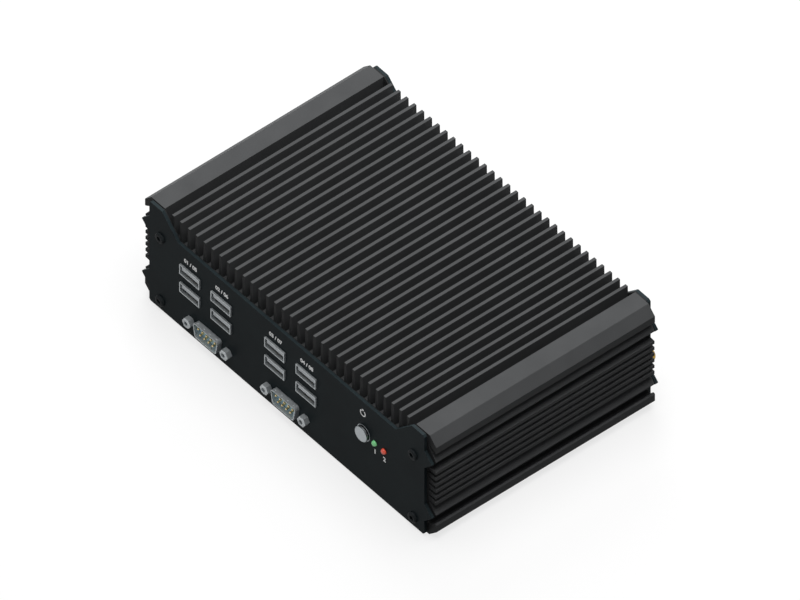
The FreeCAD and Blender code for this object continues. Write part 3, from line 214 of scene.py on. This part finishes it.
def solderMask():
    # glass-epoxy board under green solder mask, with copper tracks 4 mm apart showing faintly through
    material = startMaterial("solderMask")
    place = addNode(material, "ShaderNodeTexCoord").outputs["Object"]
    tracks = addNode(material, "ShaderNodeTexBrick",
                     {"Vector": place, "Scale": 1 / (4 * millimetre), "Mortar Size": 0.03,
                      "Color1": linearColour("#0f4a2b"), "Color2": linearColour("#0d4226"),
                      "Mortar": linearColour("#17633a")})
    return finishMaterial(material, Base_Color=tracks, Roughness=0.3)


def turnedSteelCap():
    # bead-blasted stainless button, pale and even
    material = startMaterial("turnedSteelCap")
    place = addNode(material, "ShaderNodeTexCoord").outputs["Object"]
    blast = addNode(material, "ShaderNodeTexNoise",
                    {"Vector": place, "Scale": 1 / (0.18 * millimetre), "Detail": 2.0})
    colour = addNode(material, "ShaderNodeValToRGB",
                     {"Fac": blast}, stops=[(0.3, "#8f9497"), (0.7, "#a0a5a8")])
    rough = addNode(material, "ShaderNodeMapRange", {"Value": blast, "To Min": 0.32, "To Max": 0.46})
    relief = addNode(material, "ShaderNodeBump",
                     {"Height": blast, "Distance": 0.01 * millimetre, "Strength": 0.4})
    return finishMaterial(material, Base_Color=colour, Metallic=1.0, Roughness=rough, Normal=relief)


def tintedLens(name, deep, pale, glow):
    # tinted acrylic lens with a lit chip behind it
    material = startMaterial(name)
    place = addNode(material, "ShaderNodeTexCoord").outputs["Object"]
    depth = addNode(material, "ShaderNodeTexNoise",
                    {"Vector": place, "Scale": 1 / (1.1 * millimetre), "Detail": 1.0})
    colour = addNode(material, "ShaderNodeValToRGB", {"Fac": depth}, stops=[(0.3, deep), (0.7, pale)])
    return finishMaterial(material, Base_Color=colour, Roughness=0.22, Emission_Color=linearColour(pale),
                          Emission_Strength=glow)


def milledAluminium():
    # bare aluminium with the arcs of a face mill
    material = startMaterial("milledAluminium")
    place = addNode(material, "ShaderNodeTexCoord").outputs["Object"]
    arcs = addNode(material, "ShaderNodeTexWave",
                   {"Vector": place, "Scale": 0.6 / millimetre, "Distortion": 0.6, "Detail": 2.0},
                   wave_type="RINGS", rings_direction="Z").outputs["Fac"]
    colour = addNode(material, "ShaderNodeValToRGB",
                     {"Fac": arcs}, stops=[(0.3, "#a9abad"), (0.7, "#b9bbbd")])
    rough = addNode(material, "ShaderNodeMapRange", {"Value": arcs, "To Min": 0.26, "To Max": 0.38})
    return finishMaterial(material, Base_Color=colour, Metallic=1.0, Roughness=rough)


def siliconePad():
    # filled silicone gap pad, soft and matt
    material = startMaterial("siliconePad")
    place = addNode(material, "ShaderNodeTexCoord").outputs["Object"]
    grain = addNode(material, "ShaderNodeTexNoise",
                    {"Vector": place, "Scale": 1 / (0.6 * millimetre), "Detail": 3.0})
    colour = addNode(material, "ShaderNodeValToRGB",
                     {"Fac": grain}, stops=[(0.3, "#7f93a8"), (0.7, "#90a2b5")])
    relief = addNode(material, "ShaderNodeBump",
                     {"Height": grain, "Distance": 0.05 * millimetre, "Strength": 0.4})
    return finishMaterial(material, Base_Color=colour, Roughness=0.85, Normal=relief)


def gasketRubber():
    # cut EPDM sheet, dead black with a dusty bloom
    material = startMaterial("gasketRubber")
    place = addNode(material, "ShaderNodeTexCoord").outputs["Object"]
    bloom = addNode(material, "ShaderNodeTexNoise",
                    {"Vector": place, "Scale": 1 / (0.9 * millimetre), "Detail": 3.0})
    colour = addNode(material, "ShaderNodeValToRGB",
                     {"Fac": bloom}, stops=[(0.3, "#0d0d0e"), (0.7, "#161718")])
    relief = addNode(material, "ShaderNodeBump",
                     {"Height": bloom, "Distance": 0.03 * millimetre, "Strength": 0.4})
    return finishMaterial(material, Base_Color=colour, Roughness=0.9, Normal=relief)


def whiteScreenInk():
    # screen-printed epoxy ink: matt, slightly uneven where the mesh left less, and lifted by a painted glow
    material = startMaterial("whiteScreenInk")
    place = addNode(material, "ShaderNodeTexCoord").outputs["Object"]
    patches = addNode(material, "ShaderNodeTexNoise",
                      {"Vector": place, "Scale": 1 / (0.7 * millimetre), "Detail": 3.0})
    colour = addNode(material, "ShaderNodeValToRGB",
                     {"Fac": patches}, stops=[(0.3, "#d9dcdc"), (0.7, "#f2f3f3")])
    # the emission is painted light: real ink gives off none
    return finishMaterial(material, Base_Color=colour, Roughness=0.7, Emission_Color=linearColour("#ffffff"),
                          Emission_Strength=0.25)


finishes = {
    "anodisedExtrusion": (anodisedExtrusion(), "housing", "base_cover"),
    "anodisedSheet": (anodisedSheet(), "front_panel", "rear_panel"),
    "blackOxide": (blackOxideSteel(), "panel_screws"),
    "zinc": (zincPlatedSteel(), "base_screws", "board_screws", "board_standoffs", "drive_screws",
             "spreader_screws", "drive_bracket", "coin_cell", "button_clip"),
    "nickel": (nickelPlatedShell(), "usb_socket_1", "usb_socket_2", "usb_socket_3", "usb_socket_4",
               "rear_usb_socket", "serial_shell_1", "serial_shell_2", "display_shell", "network_jack_1",
               "network_jack_2", "video_port", "jackscrews"),
    # the insulators' pale blue is painted light: lighter than their own blue, against the shade deep in the
    # shells
    "insulatorBlue": (mouldedPlastic("insulatorBlue", "#b4dcee", "#c6e6f4", metallic=0.4),
                      "serial_insulator_1", "serial_insulator_2", "display_insulator"),
    # the paler gold: painted light on the contacts
    "gold": (goldPlate("goldPlate", "#cdb27a", "#e4d1a2", metallic=0.7), "serial_pins", "antenna_contacts",
             "power_pins"),
    # the deeper gold: painted shade on the antenna jacks, nuts and threads
    "shadedThreadGold": (goldPlate("shadedThreadGold", "#96793a", "#b2964f"), "antenna_jacks", "antenna_nuts"),
    "tongueGrey": (mouldedPlastic("tongueGrey", "#a3a8ab", "#b0b4b7", metallic=0.6), "usb_tongues"),
    "nylonBlack": (mouldedPlastic("nylonBlack", "#17181a", "#1f2022"), "network_inserts", "video_tongue",
                   "switch_body", "switch_plunger", "light_holder", "memory_socket", "serial_header",
                   "cell_holder", "button_guide"),
    "terminalGreen": (mouldedPlastic("terminalGreen", "#1f6b43", "#27794c"), "power_inlet"),
    "solderMask": (solderMask(), "mainboard", "serial_board", "memory_module"),
    "turnedSteel": (turnedSteelCap(), "button_cap"),
    "lensGreen": (tintedLens("lensGreen", "#4fbf6b", "#86d896", 0.25), "status_light_green"),
    "lensRed": (tintedLens("lensRed", "#d33a22", "#ee5a42", 0.25), "status_light_red"),
    "milled": (milledAluminium(), "heat_spreader", "drive", "capacitors", "processor"),
    "pad": (siliconePad(), "processor_pad", "roof_pad"),
    "epoxyBlack": (mouldedPlastic("epoxyBlack", "#141516", "#1c1d1f", roughness=0.55), "chip_packages",
                   "power_coils"),
    "gasket": (gasketRubber(), "front_gasket", "rear_gasket"),
}
for material, *dressed in finishes.values():
    for name in dressed:
        nodes[name].data.materials.clear()
        nodes[name].data.materials.append(material)
print("finishes on", len(nodes), "nodes")


# modelling helpers

def addPart(name, operator, **place):
    # a new primitive, named and alone in the selection
    bpy.ops.object.select_all(action="DESELECT")
    operator(**place)
    part = bpy.context.object
    part.name = name
    bpy.ops.object.transform_apply(location=True, rotation=True, scale=True)
    return part


def editWhere(part, test):
    # edit mode, with only the vertices whose place passes the test selected
    bpy.ops.object.mode_set(mode="EDIT")
    bpy.ops.mesh.select_mode(type="VERT")
    bpy.ops.mesh.select_all(action="DESELECT")
    bpy.ops.object.mode_set(mode="OBJECT")
    for vertex in part.data.vertices:
        vertex.select = bool(test(vertex.co))
    bpy.ops.object.mode_set(mode="EDIT")


def applyModifier(part, kind, **settings):
    modifier = part.modifiers.new(kind.title(), kind)
    for name, value in settings.items():
        setattr(modifier, name, value)
    bpy.ops.object.select_all(action="DESELECT")
    part.select_set(True)
    bpy.context.view_layer.objects.active = part
    bpy.ops.object.modifier_apply(modifier=modifier.name)


def joinCopies(part, places):
    # copies of a finished shape, each with its own mesh, moved by a matrix and joined into one piece
    copies = []
    for place in places:
        copy = part.copy()
        copy.data = part.data.copy()
        bpy.context.scene.collection.objects.link(copy)
        copy.data.transform(place)
        copies.append(copy)
    name = part.name
    bpy.data.objects.remove(part)
    bpy.ops.object.select_all(action="DESELECT")
    for copy in copies:
        copy.select_set(True)
    bpy.context.view_layer.objects.active = copies[0]
    if len(copies) > 1:
        bpy.ops.object.join()
    copies[0].name = name
    return copies[0]


def finishPiece(part, material, angle=30):
    bpy.ops.object.select_all(action="DESELECT")
    part.select_set(True)
    bpy.context.view_layer.objects.active = part
    bpy.ops.object.mode_set(mode="EDIT")
    bpy.ops.mesh.select_all(action="SELECT")
    bpy.ops.mesh.normals_make_consistent(inside=False)
    bpy.ops.object.mode_set(mode="OBJECT")
    bpy.ops.object.shade_smooth_by_angle(angle=math.radians(angle))
    part.data.materials.clear()
    part.data.materials.append(material)
    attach(part, "case")
    print("piece", part.name, len(part.data.polygons), "faces")
    return part


def fromFront(across, up):
    # from a shape drawn round the origin, mouth towards -Y, to a place on the front panel's face
    return Matrix.Translation((across * millimetre, panelFaces["front"], up * millimetre))


def fromRear(across, up):
    return Matrix.Translation((across * millimetre, panelFaces["rear"], up * millimetre)) @ Matrix.Rotation(
        math.pi, 4, "Z")


panelFaces = {"front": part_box("front_panel")[0][1], "rear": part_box("rear_panel")[1][1]}
ports = {
    # middles in millimetres, across and up
    "usb": [(-64.53, 25.6), (-64.53, 36.6), (-43.58, 25.6), (-43.58, 36.6),
            (-7.53, 25.6), (-7.53, 36.6), (13.43, 25.6), (13.43, 36.6)],
    "rearUsb": [(12.6, 25.6), (12.6, 36.6)],
    "serial": [(-51.8, 9.4), (0.25, 9.4)],
    "display": [(-54.0, 27.8)],
    "jackReach": 12.495,
    "network": [(-25.5, 0), (-6.9, 0)],
    "antenna": [(-82.0, 15.0), (82.0, 15.0)],
    "video": [(33.0, 0)],
}
usbPlaces = [fromFront(*spot) for spot in ports["usb"]] + [fromRear(*spot) for spot in ports["rearUsb"]]
shellPlaces = [fromFront(*spot) for spot in ports["serial"]] + [fromRear(*spot) for spot in ports["display"]]

# four gold strips under each socket's tongue
usbContacts = {"across": (-3.5, -1.0, 1.0, 3.5), "width": 1.0, "length": 8.4, "thick": 0.12, "start": 0.9,
               "tongueFoot": -0.2, "tipLift": 0.096, "tipWidth": 0.7, "edge": 0.03}


def makeUsbContacts():
    size = usbContacts
    middle = (0, (size["start"] + size["length"] / 2) * millimetre,
              (size["tongueFoot"] - size["thick"] / 2) * millimetre)
    strip = addPart("usbContacts", bpy.ops.mesh.primitive_cube_add, size=millimetre, location=middle,
                    scale=(size["width"], size["length"], size["thick"]))
    front = size["start"] * millimetre
    editWhere(strip, lambda place: place.y < front + near)
    bpy.ops.transform.translate(value=(0, 0, size["tipLift"] * millimetre))
    bpy.ops.transform.resize(value=(size["tipWidth"], 1, 1))
    bpy.ops.object.mode_set(mode="OBJECT")
    applyModifier(strip, "BEVEL", width=size["edge"] * millimetre, segments=2)
    row = joinCopies(strip, [Matrix.Translation((across * millimetre, 0, 0)) for across in size["across"]])
    finishPiece(joinCopies(row, usbPlaces), finishes["gold"][0])


# the springs that press on a plug's shell: two in the floor of each mouth
usbSprings = {"across": (-2.9, 2.9), "width": 2.9, "length": 5.6, "thick": 0.18, "start": -0.55,
              "floor": -2.42, "crest": 0.95, "lean": 0.72, "steps": 10, "edge": 0.04}


def makeUsbSprings():
    size = usbSprings
    start, length = size["start"], size["length"]
    middle = (0, (start + length / 2) * millimetre, size["floor"] * millimetre)
    strip = addPart("usbSprings", bpy.ops.mesh.primitive_grid_add, x_subdivisions=2,
                    y_subdivisions=size["steps"], size=millimetre, location=middle,
                    scale=(size["width"], length, 1))
    for step in range(1, size["steps"]):
        along = step / size["steps"]
        rise = math.sin(math.pi * along ** size["lean"]) * size["crest"]
        row = (start + along * length) * millimetre
        editWhere(strip, lambda place: abs(place.y - row) < near)
        bpy.ops.transform.translate(value=(0, 0, rise * millimetre))
    bpy.ops.object.mode_set(mode="OBJECT")
    applyModifier(strip, "SOLIDIFY", thickness=size["thick"] * millimetre, offset=1.0)
    applyModifier(strip, "BEVEL", width=size["edge"] * millimetre, segments=2)
    pair = joinCopies(strip, [Matrix.Translation((across * millimetre, 0, 0)) for across in size["across"]])
    finishPiece(joinCopies(pair, usbPlaces), finishes["nickel"][0])


# the raised dimples that grip a plug on the D-shaped shells
shellDimples = {"radius": 0.5, "rise": 0.12, "sink": 0.02, "back": -1.15, "half": 4.18,
                "upper": (-6.0, -2.0, 2.0, 6.0), "lower": (-4.4, 0.0, 4.4),
                "snap": 0.0002}  # the reach of the cut's own snapping, by default as much as a dimple's rise


def makeShellDimples():
    size = shellDimples
    dimple = addPart("shellDimples", bpy.ops.mesh.primitive_uv_sphere_add, segments=20, ring_count=12,
                     radius=size["radius"] * millimetre)
    editWhere(dimple, lambda place: True)
    bpy.ops.transform.resize(value=(1, 1, size["rise"] / size["radius"]))
    bpy.ops.mesh.bisect(plane_co=(0, 0, -size["sink"] * millimetre), plane_no=(0, 0, 1), clear_inner=True,
                        use_fill=True, threshold=size["snap"] * millimetre)
    bpy.ops.object.mode_set(mode="OBJECT")
    upper = [Matrix.Translation((across * millimetre, size["back"] * millimetre, size["half"] * millimetre))
             for across in size["upper"]]
    lower = [Matrix.Translation((across * millimetre, size["back"] * millimetre, -size["half"] * millimetre))
             @ Matrix.Rotation(math.pi, 4, "Y") for across in size["lower"]]
    shell = joinCopies(dimple, upper + lower)
    finishPiece(joinCopies(shell, shellPlaces), finishes["nickel"][0], angle=60)


# screw threads, as a ridge wound along the axis
threads = {
    "jackThreads": {"radius": 1.24, "depth": 0.3, "width": 1.25, "pitch": 0.64, "turns": 7, "start": -2.7},
    "antennaThreads": {"radius": 3.17, "depth": 0.17, "width": 1.25, "pitch": 0.71, "turns": 8,
                       "start": -8.55},
}


def makeThread(name, places, material):
    size = threads[name]
    ridge = addPart(name, bpy.ops.mesh.primitive_circle_add, vertices=3, radius=size["depth"] * millimetre,
                    location=(size["radius"] * millimetre, size["start"] * millimetre, 0),
                    fill_type="NOTHING")
    editWhere(ridge, lambda place: True)
    bpy.ops.transform.resize(value=(1, size["width"], 1))
    bpy.ops.object.mode_set(mode="OBJECT")
    applyModifier(ridge, "SCREW", axis="Y", screw_offset=size["pitch"] * millimetre, iterations=size["turns"],
                  steps=28, render_steps=28, use_merge_vertices=False)
    editWhere(ridge, lambda place: True)
    bpy.ops.mesh.fill_holes(sides=4)
    bpy.ops.object.mode_set(mode="OBJECT")
    finishPiece(joinCopies(ridge, places), material, angle=50)


# a thin turned ring let into the panel round the power button
buttonBezel = {"across": 51.6, "up": 31.9, "inner": 3.95, "outer": 4.28, "rise": 0.2, "edge": 0.06}


def makeButtonBezel():
    size = buttonBezel
    ring = addPart("buttonBezel", bpy.ops.mesh.primitive_circle_add, vertices=64,
                   radius=size["inner"] * millimetre, rotation=(math.pi / 2, 0, 0),
                   location=(0, -size["rise"] / 2 * millimetre, 0))
    editWhere(ring, lambda place: True)
    bpy.ops.mesh.extrude_region_move()
    bpy.ops.transform.resize(value=(size["outer"] / size["inner"], 1, size["outer"] / size["inner"]))
    bpy.ops.object.mode_set(mode="OBJECT")
    applyModifier(ring, "SOLIDIFY", thickness=size["rise"] * millimetre, offset=0.0)
    applyModifier(ring, "BEVEL", width=size["edge"] * millimetre, segments=3, limit_method="ANGLE")
    finishPiece(joinCopies(ring, [fromFront(size["across"], size["up"])]), finishes["turnedSteel"][0])


# eight sprung wires in each network jack
networkWires = {"count": 8, "pitch": 1.02, "width": 0.42, "thick": 0.3, "length": 8.6, "start": 3.2,
                "top": 30.6, "fall": 3.4, "hook": 0.5, "edge": 0.07}


def makeNetworkWires():
    size = networkWires
    wire = addPart("networkWires", bpy.ops.mesh.primitive_cube_add, size=millimetre,
                   location=(0, (size["start"] + size["length"] / 2) * millimetre, size["top"] * millimetre),
                   scale=(size["width"], size["length"], size["thick"]))
    editWhere(wire, lambda place: place.y < (size["start"] + 0.1) * millimetre)
    bpy.ops.transform.translate(value=(0, 0, -size["fall"] * millimetre))
    hook = size["hook"] * millimetre
    bpy.ops.mesh.extrude_region_move(TRANSFORM_OT_translate={"value": (0, -hook, hook)})
    bpy.ops.object.mode_set(mode="OBJECT")
    applyModifier(wire, "BEVEL", width=size["edge"] * millimetre, segments=2)
    first = -(size["count"] - 1) / 2 * size["pitch"]
    comb = joinCopies(wire, [Matrix.Translation(((first + step * size["pitch"]) * millimetre, 0, 0))
                             for step in range(size["count"])])
    finishPiece(joinCopies(comb, [fromRear(*spot) for spot in ports["network"]]), finishes["gold"][0])


# two light windows over each network jack
networkWindows = {"across": 6.1, "up": 33.2, "width": 2.6, "height": 1.5, "proud": 0.72, "depth": 0.5,
                  "faceWidth": 0.88, "faceHeight": 0.8, "edge": 0.08}


def makeNetworkWindows():
    size = networkWindows
    window = addPart("networkWindows", bpy.ops.mesh.primitive_cube_add, size=millimetre,
                     location=(0, (size["depth"] / 2 - size["proud"]) * millimetre, size["up"] * millimetre),
                     scale=(size["width"], size["depth"], size["height"]))
    editWhere(window, lambda place: place.y < -0.5 * millimetre)
    bpy.ops.transform.resize(value=(size["faceWidth"], 1, size["faceHeight"]))
    bpy.ops.object.mode_set(mode="OBJECT")
    applyModifier(window, "BEVEL", width=size["edge"] * millimetre, segments=2)
    across = size["across"] * millimetre
    pair = joinCopies(window, [Matrix.Translation((side * across, 0, 0)) for side in (-1, 1)])
    finishPiece(joinCopies(pair, [fromRear(*spot) for spot in ports["network"]]), finishes["lensGreen"][0])


# gold fingers on the video port's blade
videoContacts = {"count": 9, "pitch": 1.1, "width": 0.5, "thick": 0.1, "length": 6.4, "start": 2.9,
                 "up": 24.75, "tipWidth": 0.6, "edge": 0.025}


def makeVideoContacts():
    size = videoContacts
    finger = addPart("videoContacts", bpy.ops.mesh.primitive_cube_add, size=millimetre,
                     location=(0, (size["start"] + size["length"] / 2) * millimetre, size["up"] * millimetre),
                     scale=(size["width"], size["length"], size["thick"]))
    editWhere(finger, lambda place: place.y < (size["start"] + 0.1) * millimetre)
    bpy.ops.transform.resize(value=(size["tipWidth"], 1, 1))
    bpy.ops.object.mode_set(mode="OBJECT")
    applyModifier(finger, "BEVEL", width=size["edge"] * millimetre, segments=2)
    first = -(size["count"] - 1) / 2 * size["pitch"]
    row = joinCopies(finger, [Matrix.Translation(((first + step * size["pitch"]) * millimetre, 0, 0))
                              for step in range(size["count"])])
    finishPiece(joinCopies(row, [fromRear(*spot) for spot in ports["video"]]), finishes["gold"][0])


# printed marks: plain port numbers, a power symbol and the lights' numbers
marks = {
    # at other weights or with other words, check that every numeral is still filled
    "thick": 0.04, "bold": 0.13,
    "front": [("01 / 05", -64.53, 43.4, 3.0), ("02 / 06", -43.58, 43.4, 3.0), ("03 / 07", -7.53, 43.4, 3.0),
              ("04 / 08", 13.43, 43.4, 3.0), ("1", 59.2, 26.0, 3.5), ("2", 65.5, 26.0, 3.5)],
    "rear": [("09 / 10", 12.6, 43.4, 3.0), ("1", -25.5, 38.2, 2.9), ("2", -6.9, 38.2, 2.9)],
}
powerMark = {"across": 51.0, "up": 43.4, "radius": 1.9, "line": 0.6, "gap": 0.9, "bar": 2.0}


def printedText(words, place, height):
    bpy.ops.object.select_all(action="DESELECT")
    bpy.ops.object.text_add(rotation=(math.pi / 2, 0, 0))
    text = bpy.context.object
    text.data.body = words
    text.data.align_x, text.data.align_y = "CENTER", "CENTER"
    text.data.size = height * millimetre
    text.data.offset = marks["bold"] * millimetre
    text.data.extrude = marks["thick"] * millimetre
    bpy.ops.object.convert(target="MESH")
    text = bpy.context.object
    bpy.ops.object.transform_apply(location=True, rotation=True, scale=True)
    text.data.transform(place)
    return text


def makePowerMark():
    size = powerMark
    arc = addPart("powerMark", bpy.ops.mesh.primitive_circle_add, vertices=48,
                  radius=size["radius"] * millimetre, rotation=(math.pi / 2, 0, 0))
    editWhere(arc, lambda place: place.z > 0 and abs(place.x) < size["gap"] * millimetre)
    bpy.ops.mesh.delete(type="VERT")
    bpy.ops.mesh.select_all(action="SELECT")
    bpy.ops.mesh.extrude_region_move()
    inner = 1 - size["line"] / size["radius"]
    bpy.ops.transform.resize(value=(inner, 1, inner))
    bpy.ops.object.mode_set(mode="OBJECT")
    bar = addPart("powerBar", bpy.ops.mesh.primitive_plane_add, size=millimetre, rotation=(math.pi / 2, 0, 0),
                  location=(0, 0, size["radius"] * millimetre), scale=(size["line"], size["bar"], 1))
    bpy.ops.object.select_all(action="DESELECT")
    bar.select_set(True)
    arc.select_set(True)
    bpy.context.view_layer.objects.active = arc
    bpy.ops.object.join()
    applyModifier(arc, "SOLIDIFY", thickness=2 * marks["thick"] * millimetre, offset=0.0)
    return joinCopies(arc, [fromFront(size["across"], size["up"])])


def makeMarks():
    ink = whiteScreenInk()
    front = [printedText(words, fromFront(across, up), high) for words, across, up, high in marks["front"]]
    rear = [printedText(words, fromRear(across, up), high) for words, across, up, high in marks["rear"]]
    for name, items in (("frontMarks", front + [makePowerMark()]), ("rearMarks", rear)):
        bpy.ops.object.select_all(action="DESELECT")
        for item in items:
            item.select_set(True)
        bpy.context.view_layer.objects.active = items[0]
        bpy.ops.object.join()
        items[0].name = name
        finishPiece(items[0], ink)


jackPlaces = [place @ Matrix.Translation((side * ports["jackReach"] * millimetre, 0, 0))
              for place in shellPlaces for side in (-1, 1)]
makeUsbContacts()
makeUsbSprings()
makeShellDimples()
makeThread("jackThreads", jackPlaces, finishes["nickel"][0])
makeThread("antennaThreads", [fromRear(*spot) for spot in ports["antenna"]], finishes["shadedThreadGold"][0])
makeButtonBezel()
makeNetworkWires()
makeNetworkWindows()
makeVideoContacts()
makeMarks()


# stage, light and camera

stage = {"floorHalf": 3.0, "floorDrop": 0.0002, "floor": "#fafafa", "floorBounce": "#484848",
         "floorGlow": 0.75, "worldLight": 0.1, "backdrop": 1.0}
camera = {"azimuth": 50.0, "elevation": 45.96, "width": 0.3448, "distance": 1.2}
lamps = {
    # direction in degrees, distance and diameter in metres, brightness as the lamp itself looks, where 1 is
    # white. The two together light a level face at a little over 1, and an upright front one at far less
    "topSoftbox": {"azimuth": 110, "elevation": 84, "distance": 1.0, "size": 1.0, "brightness": 4.5},
    "backSoftbox": {"azimuth": 235, "elevation": 42, "distance": 0.75, "size": 0.5, "brightness": 3.9},
}


def viewDirection(azimuth, elevation):
    a, e = math.radians(azimuth), math.radians(elevation)
    return Vector((math.sin(a) * math.cos(e), -math.cos(a) * math.cos(e), math.sin(e)))


def lookingAt(place, target):
    return (target - place).to_track_quat("-Z", "Y").to_matrix().to_4x4()


def seenDirectly(material):
    # 1 where the camera, a reflection or a view through glass looks at the surface
    path = addNode(material, "ShaderNodeLightPath")
    seen = addNode(material, "ShaderNodeMath",
                   {0: path.outputs["Is Camera Ray"], 1: path.outputs["Is Glossy Ray"]}, operation="MAXIMUM")
    return addNode(material, "ShaderNodeMath", {0: seen.outputs[0], 1: path.outputs["Is Transmission Ray"]},
                   operation="MAXIMUM").outputs[0]


def makeFloor():
    bpy.ops.object.select_all(action="DESELECT")
    bpy.ops.mesh.primitive_plane_add(size=2 * stage["floorHalf"], location=(0, 0, -stage["floorDrop"]))
    floor = bpy.context.object
    floor.name = "studioFloor"
    material = startMaterial("palePaper")
    seen = seenDirectly(material)
    colour = addNode(material, "ShaderNodeMix", {"Factor": seen, "A": linearColour(stage["floorBounce"]),
                                                 "B": linearColour(stage["floor"])}, data_type="RGBA")
    paper = addNode(material, "ShaderNodeBsdfDiffuse", {"Color": colour})
    white = addNode(material, "ShaderNodeEmission", {"Color": (1, 1, 1, 1), "Strength": stage["backdrop"]})
    share = addNode(material, "ShaderNodeMath", {0: seen, 1: stage["floorGlow"]}, operation="MULTIPLY")
    mixed = addNode(material, "ShaderNodeMixShader", {0: share, 1: paper, 2: white})
    clear = addNode(material, "ShaderNodeBsdfTransparent")
    behind = addNode(material, "ShaderNodeNewGeometry").outputs["Backfacing"]  # clear from below
    sided = addNode(material, "ShaderNodeMixShader", {0: behind, 1: mixed, 2: clear})
    addNode(material, "ShaderNodeOutputMaterial", {"Surface": sided})
    floor.data.materials.append(material)


def makeWorld():
    world = bpy.data.worlds.new("studioLight")
    world.use_nodes = True
    bpy.context.scene.world = world
    world.node_tree.nodes.clear()
    seen = seenDirectly(world)
    strength = addNode(world, "ShaderNodeMapRange",
                       {"Value": seen, "To Min": stage["worldLight"], "To Max": stage["backdrop"]})
    background = addNode(world, "ShaderNodeBackground", {"Color": (1, 1, 1, 1), "Strength": strength})
    addNode(world, "ShaderNodeOutputWorld", {"Surface": background})


def makeLamps(target):
    for name, lamp in lamps.items():
        data = bpy.data.lights.new(name, "AREA")
        data.shape = "DISK"
        data.size = lamp["size"]
        data.energy = lamp["brightness"] * math.pi * math.pi * (lamp["size"] / 2) ** 2
        item = bpy.data.objects.new(name, data)
        bpy.context.scene.collection.objects.link(item)
        place = target + viewDirection(lamp["azimuth"], lamp["elevation"]) * lamp["distance"]
        item.matrix_world = Matrix.Translation(place) @ lookingAt(place, target)


def makeCamera(target):
    data = bpy.data.cameras.new("studioCamera")
    data.type = "ORTHO"
    data.ortho_scale = camera["width"]
    data.clip_end = 10
    item = bpy.data.objects.new("studioCamera", data)
    bpy.context.scene.collection.objects.link(item)
    place = target + viewDirection(camera["azimuth"], camera["elevation"]) * camera["distance"]
    item.matrix_world = Matrix.Translation(place) @ lookingAt(place, target)
    bpy.context.scene.camera = item


middle = Vector((0, 0, cadBounds[1][2] / 2))
makeFloor()
makeWorld()
makeLamps(middle)
makeCamera(middle)
bpy.context.scene.view_settings.view_transform = "Standard"
print("stage, lamps and camera set")
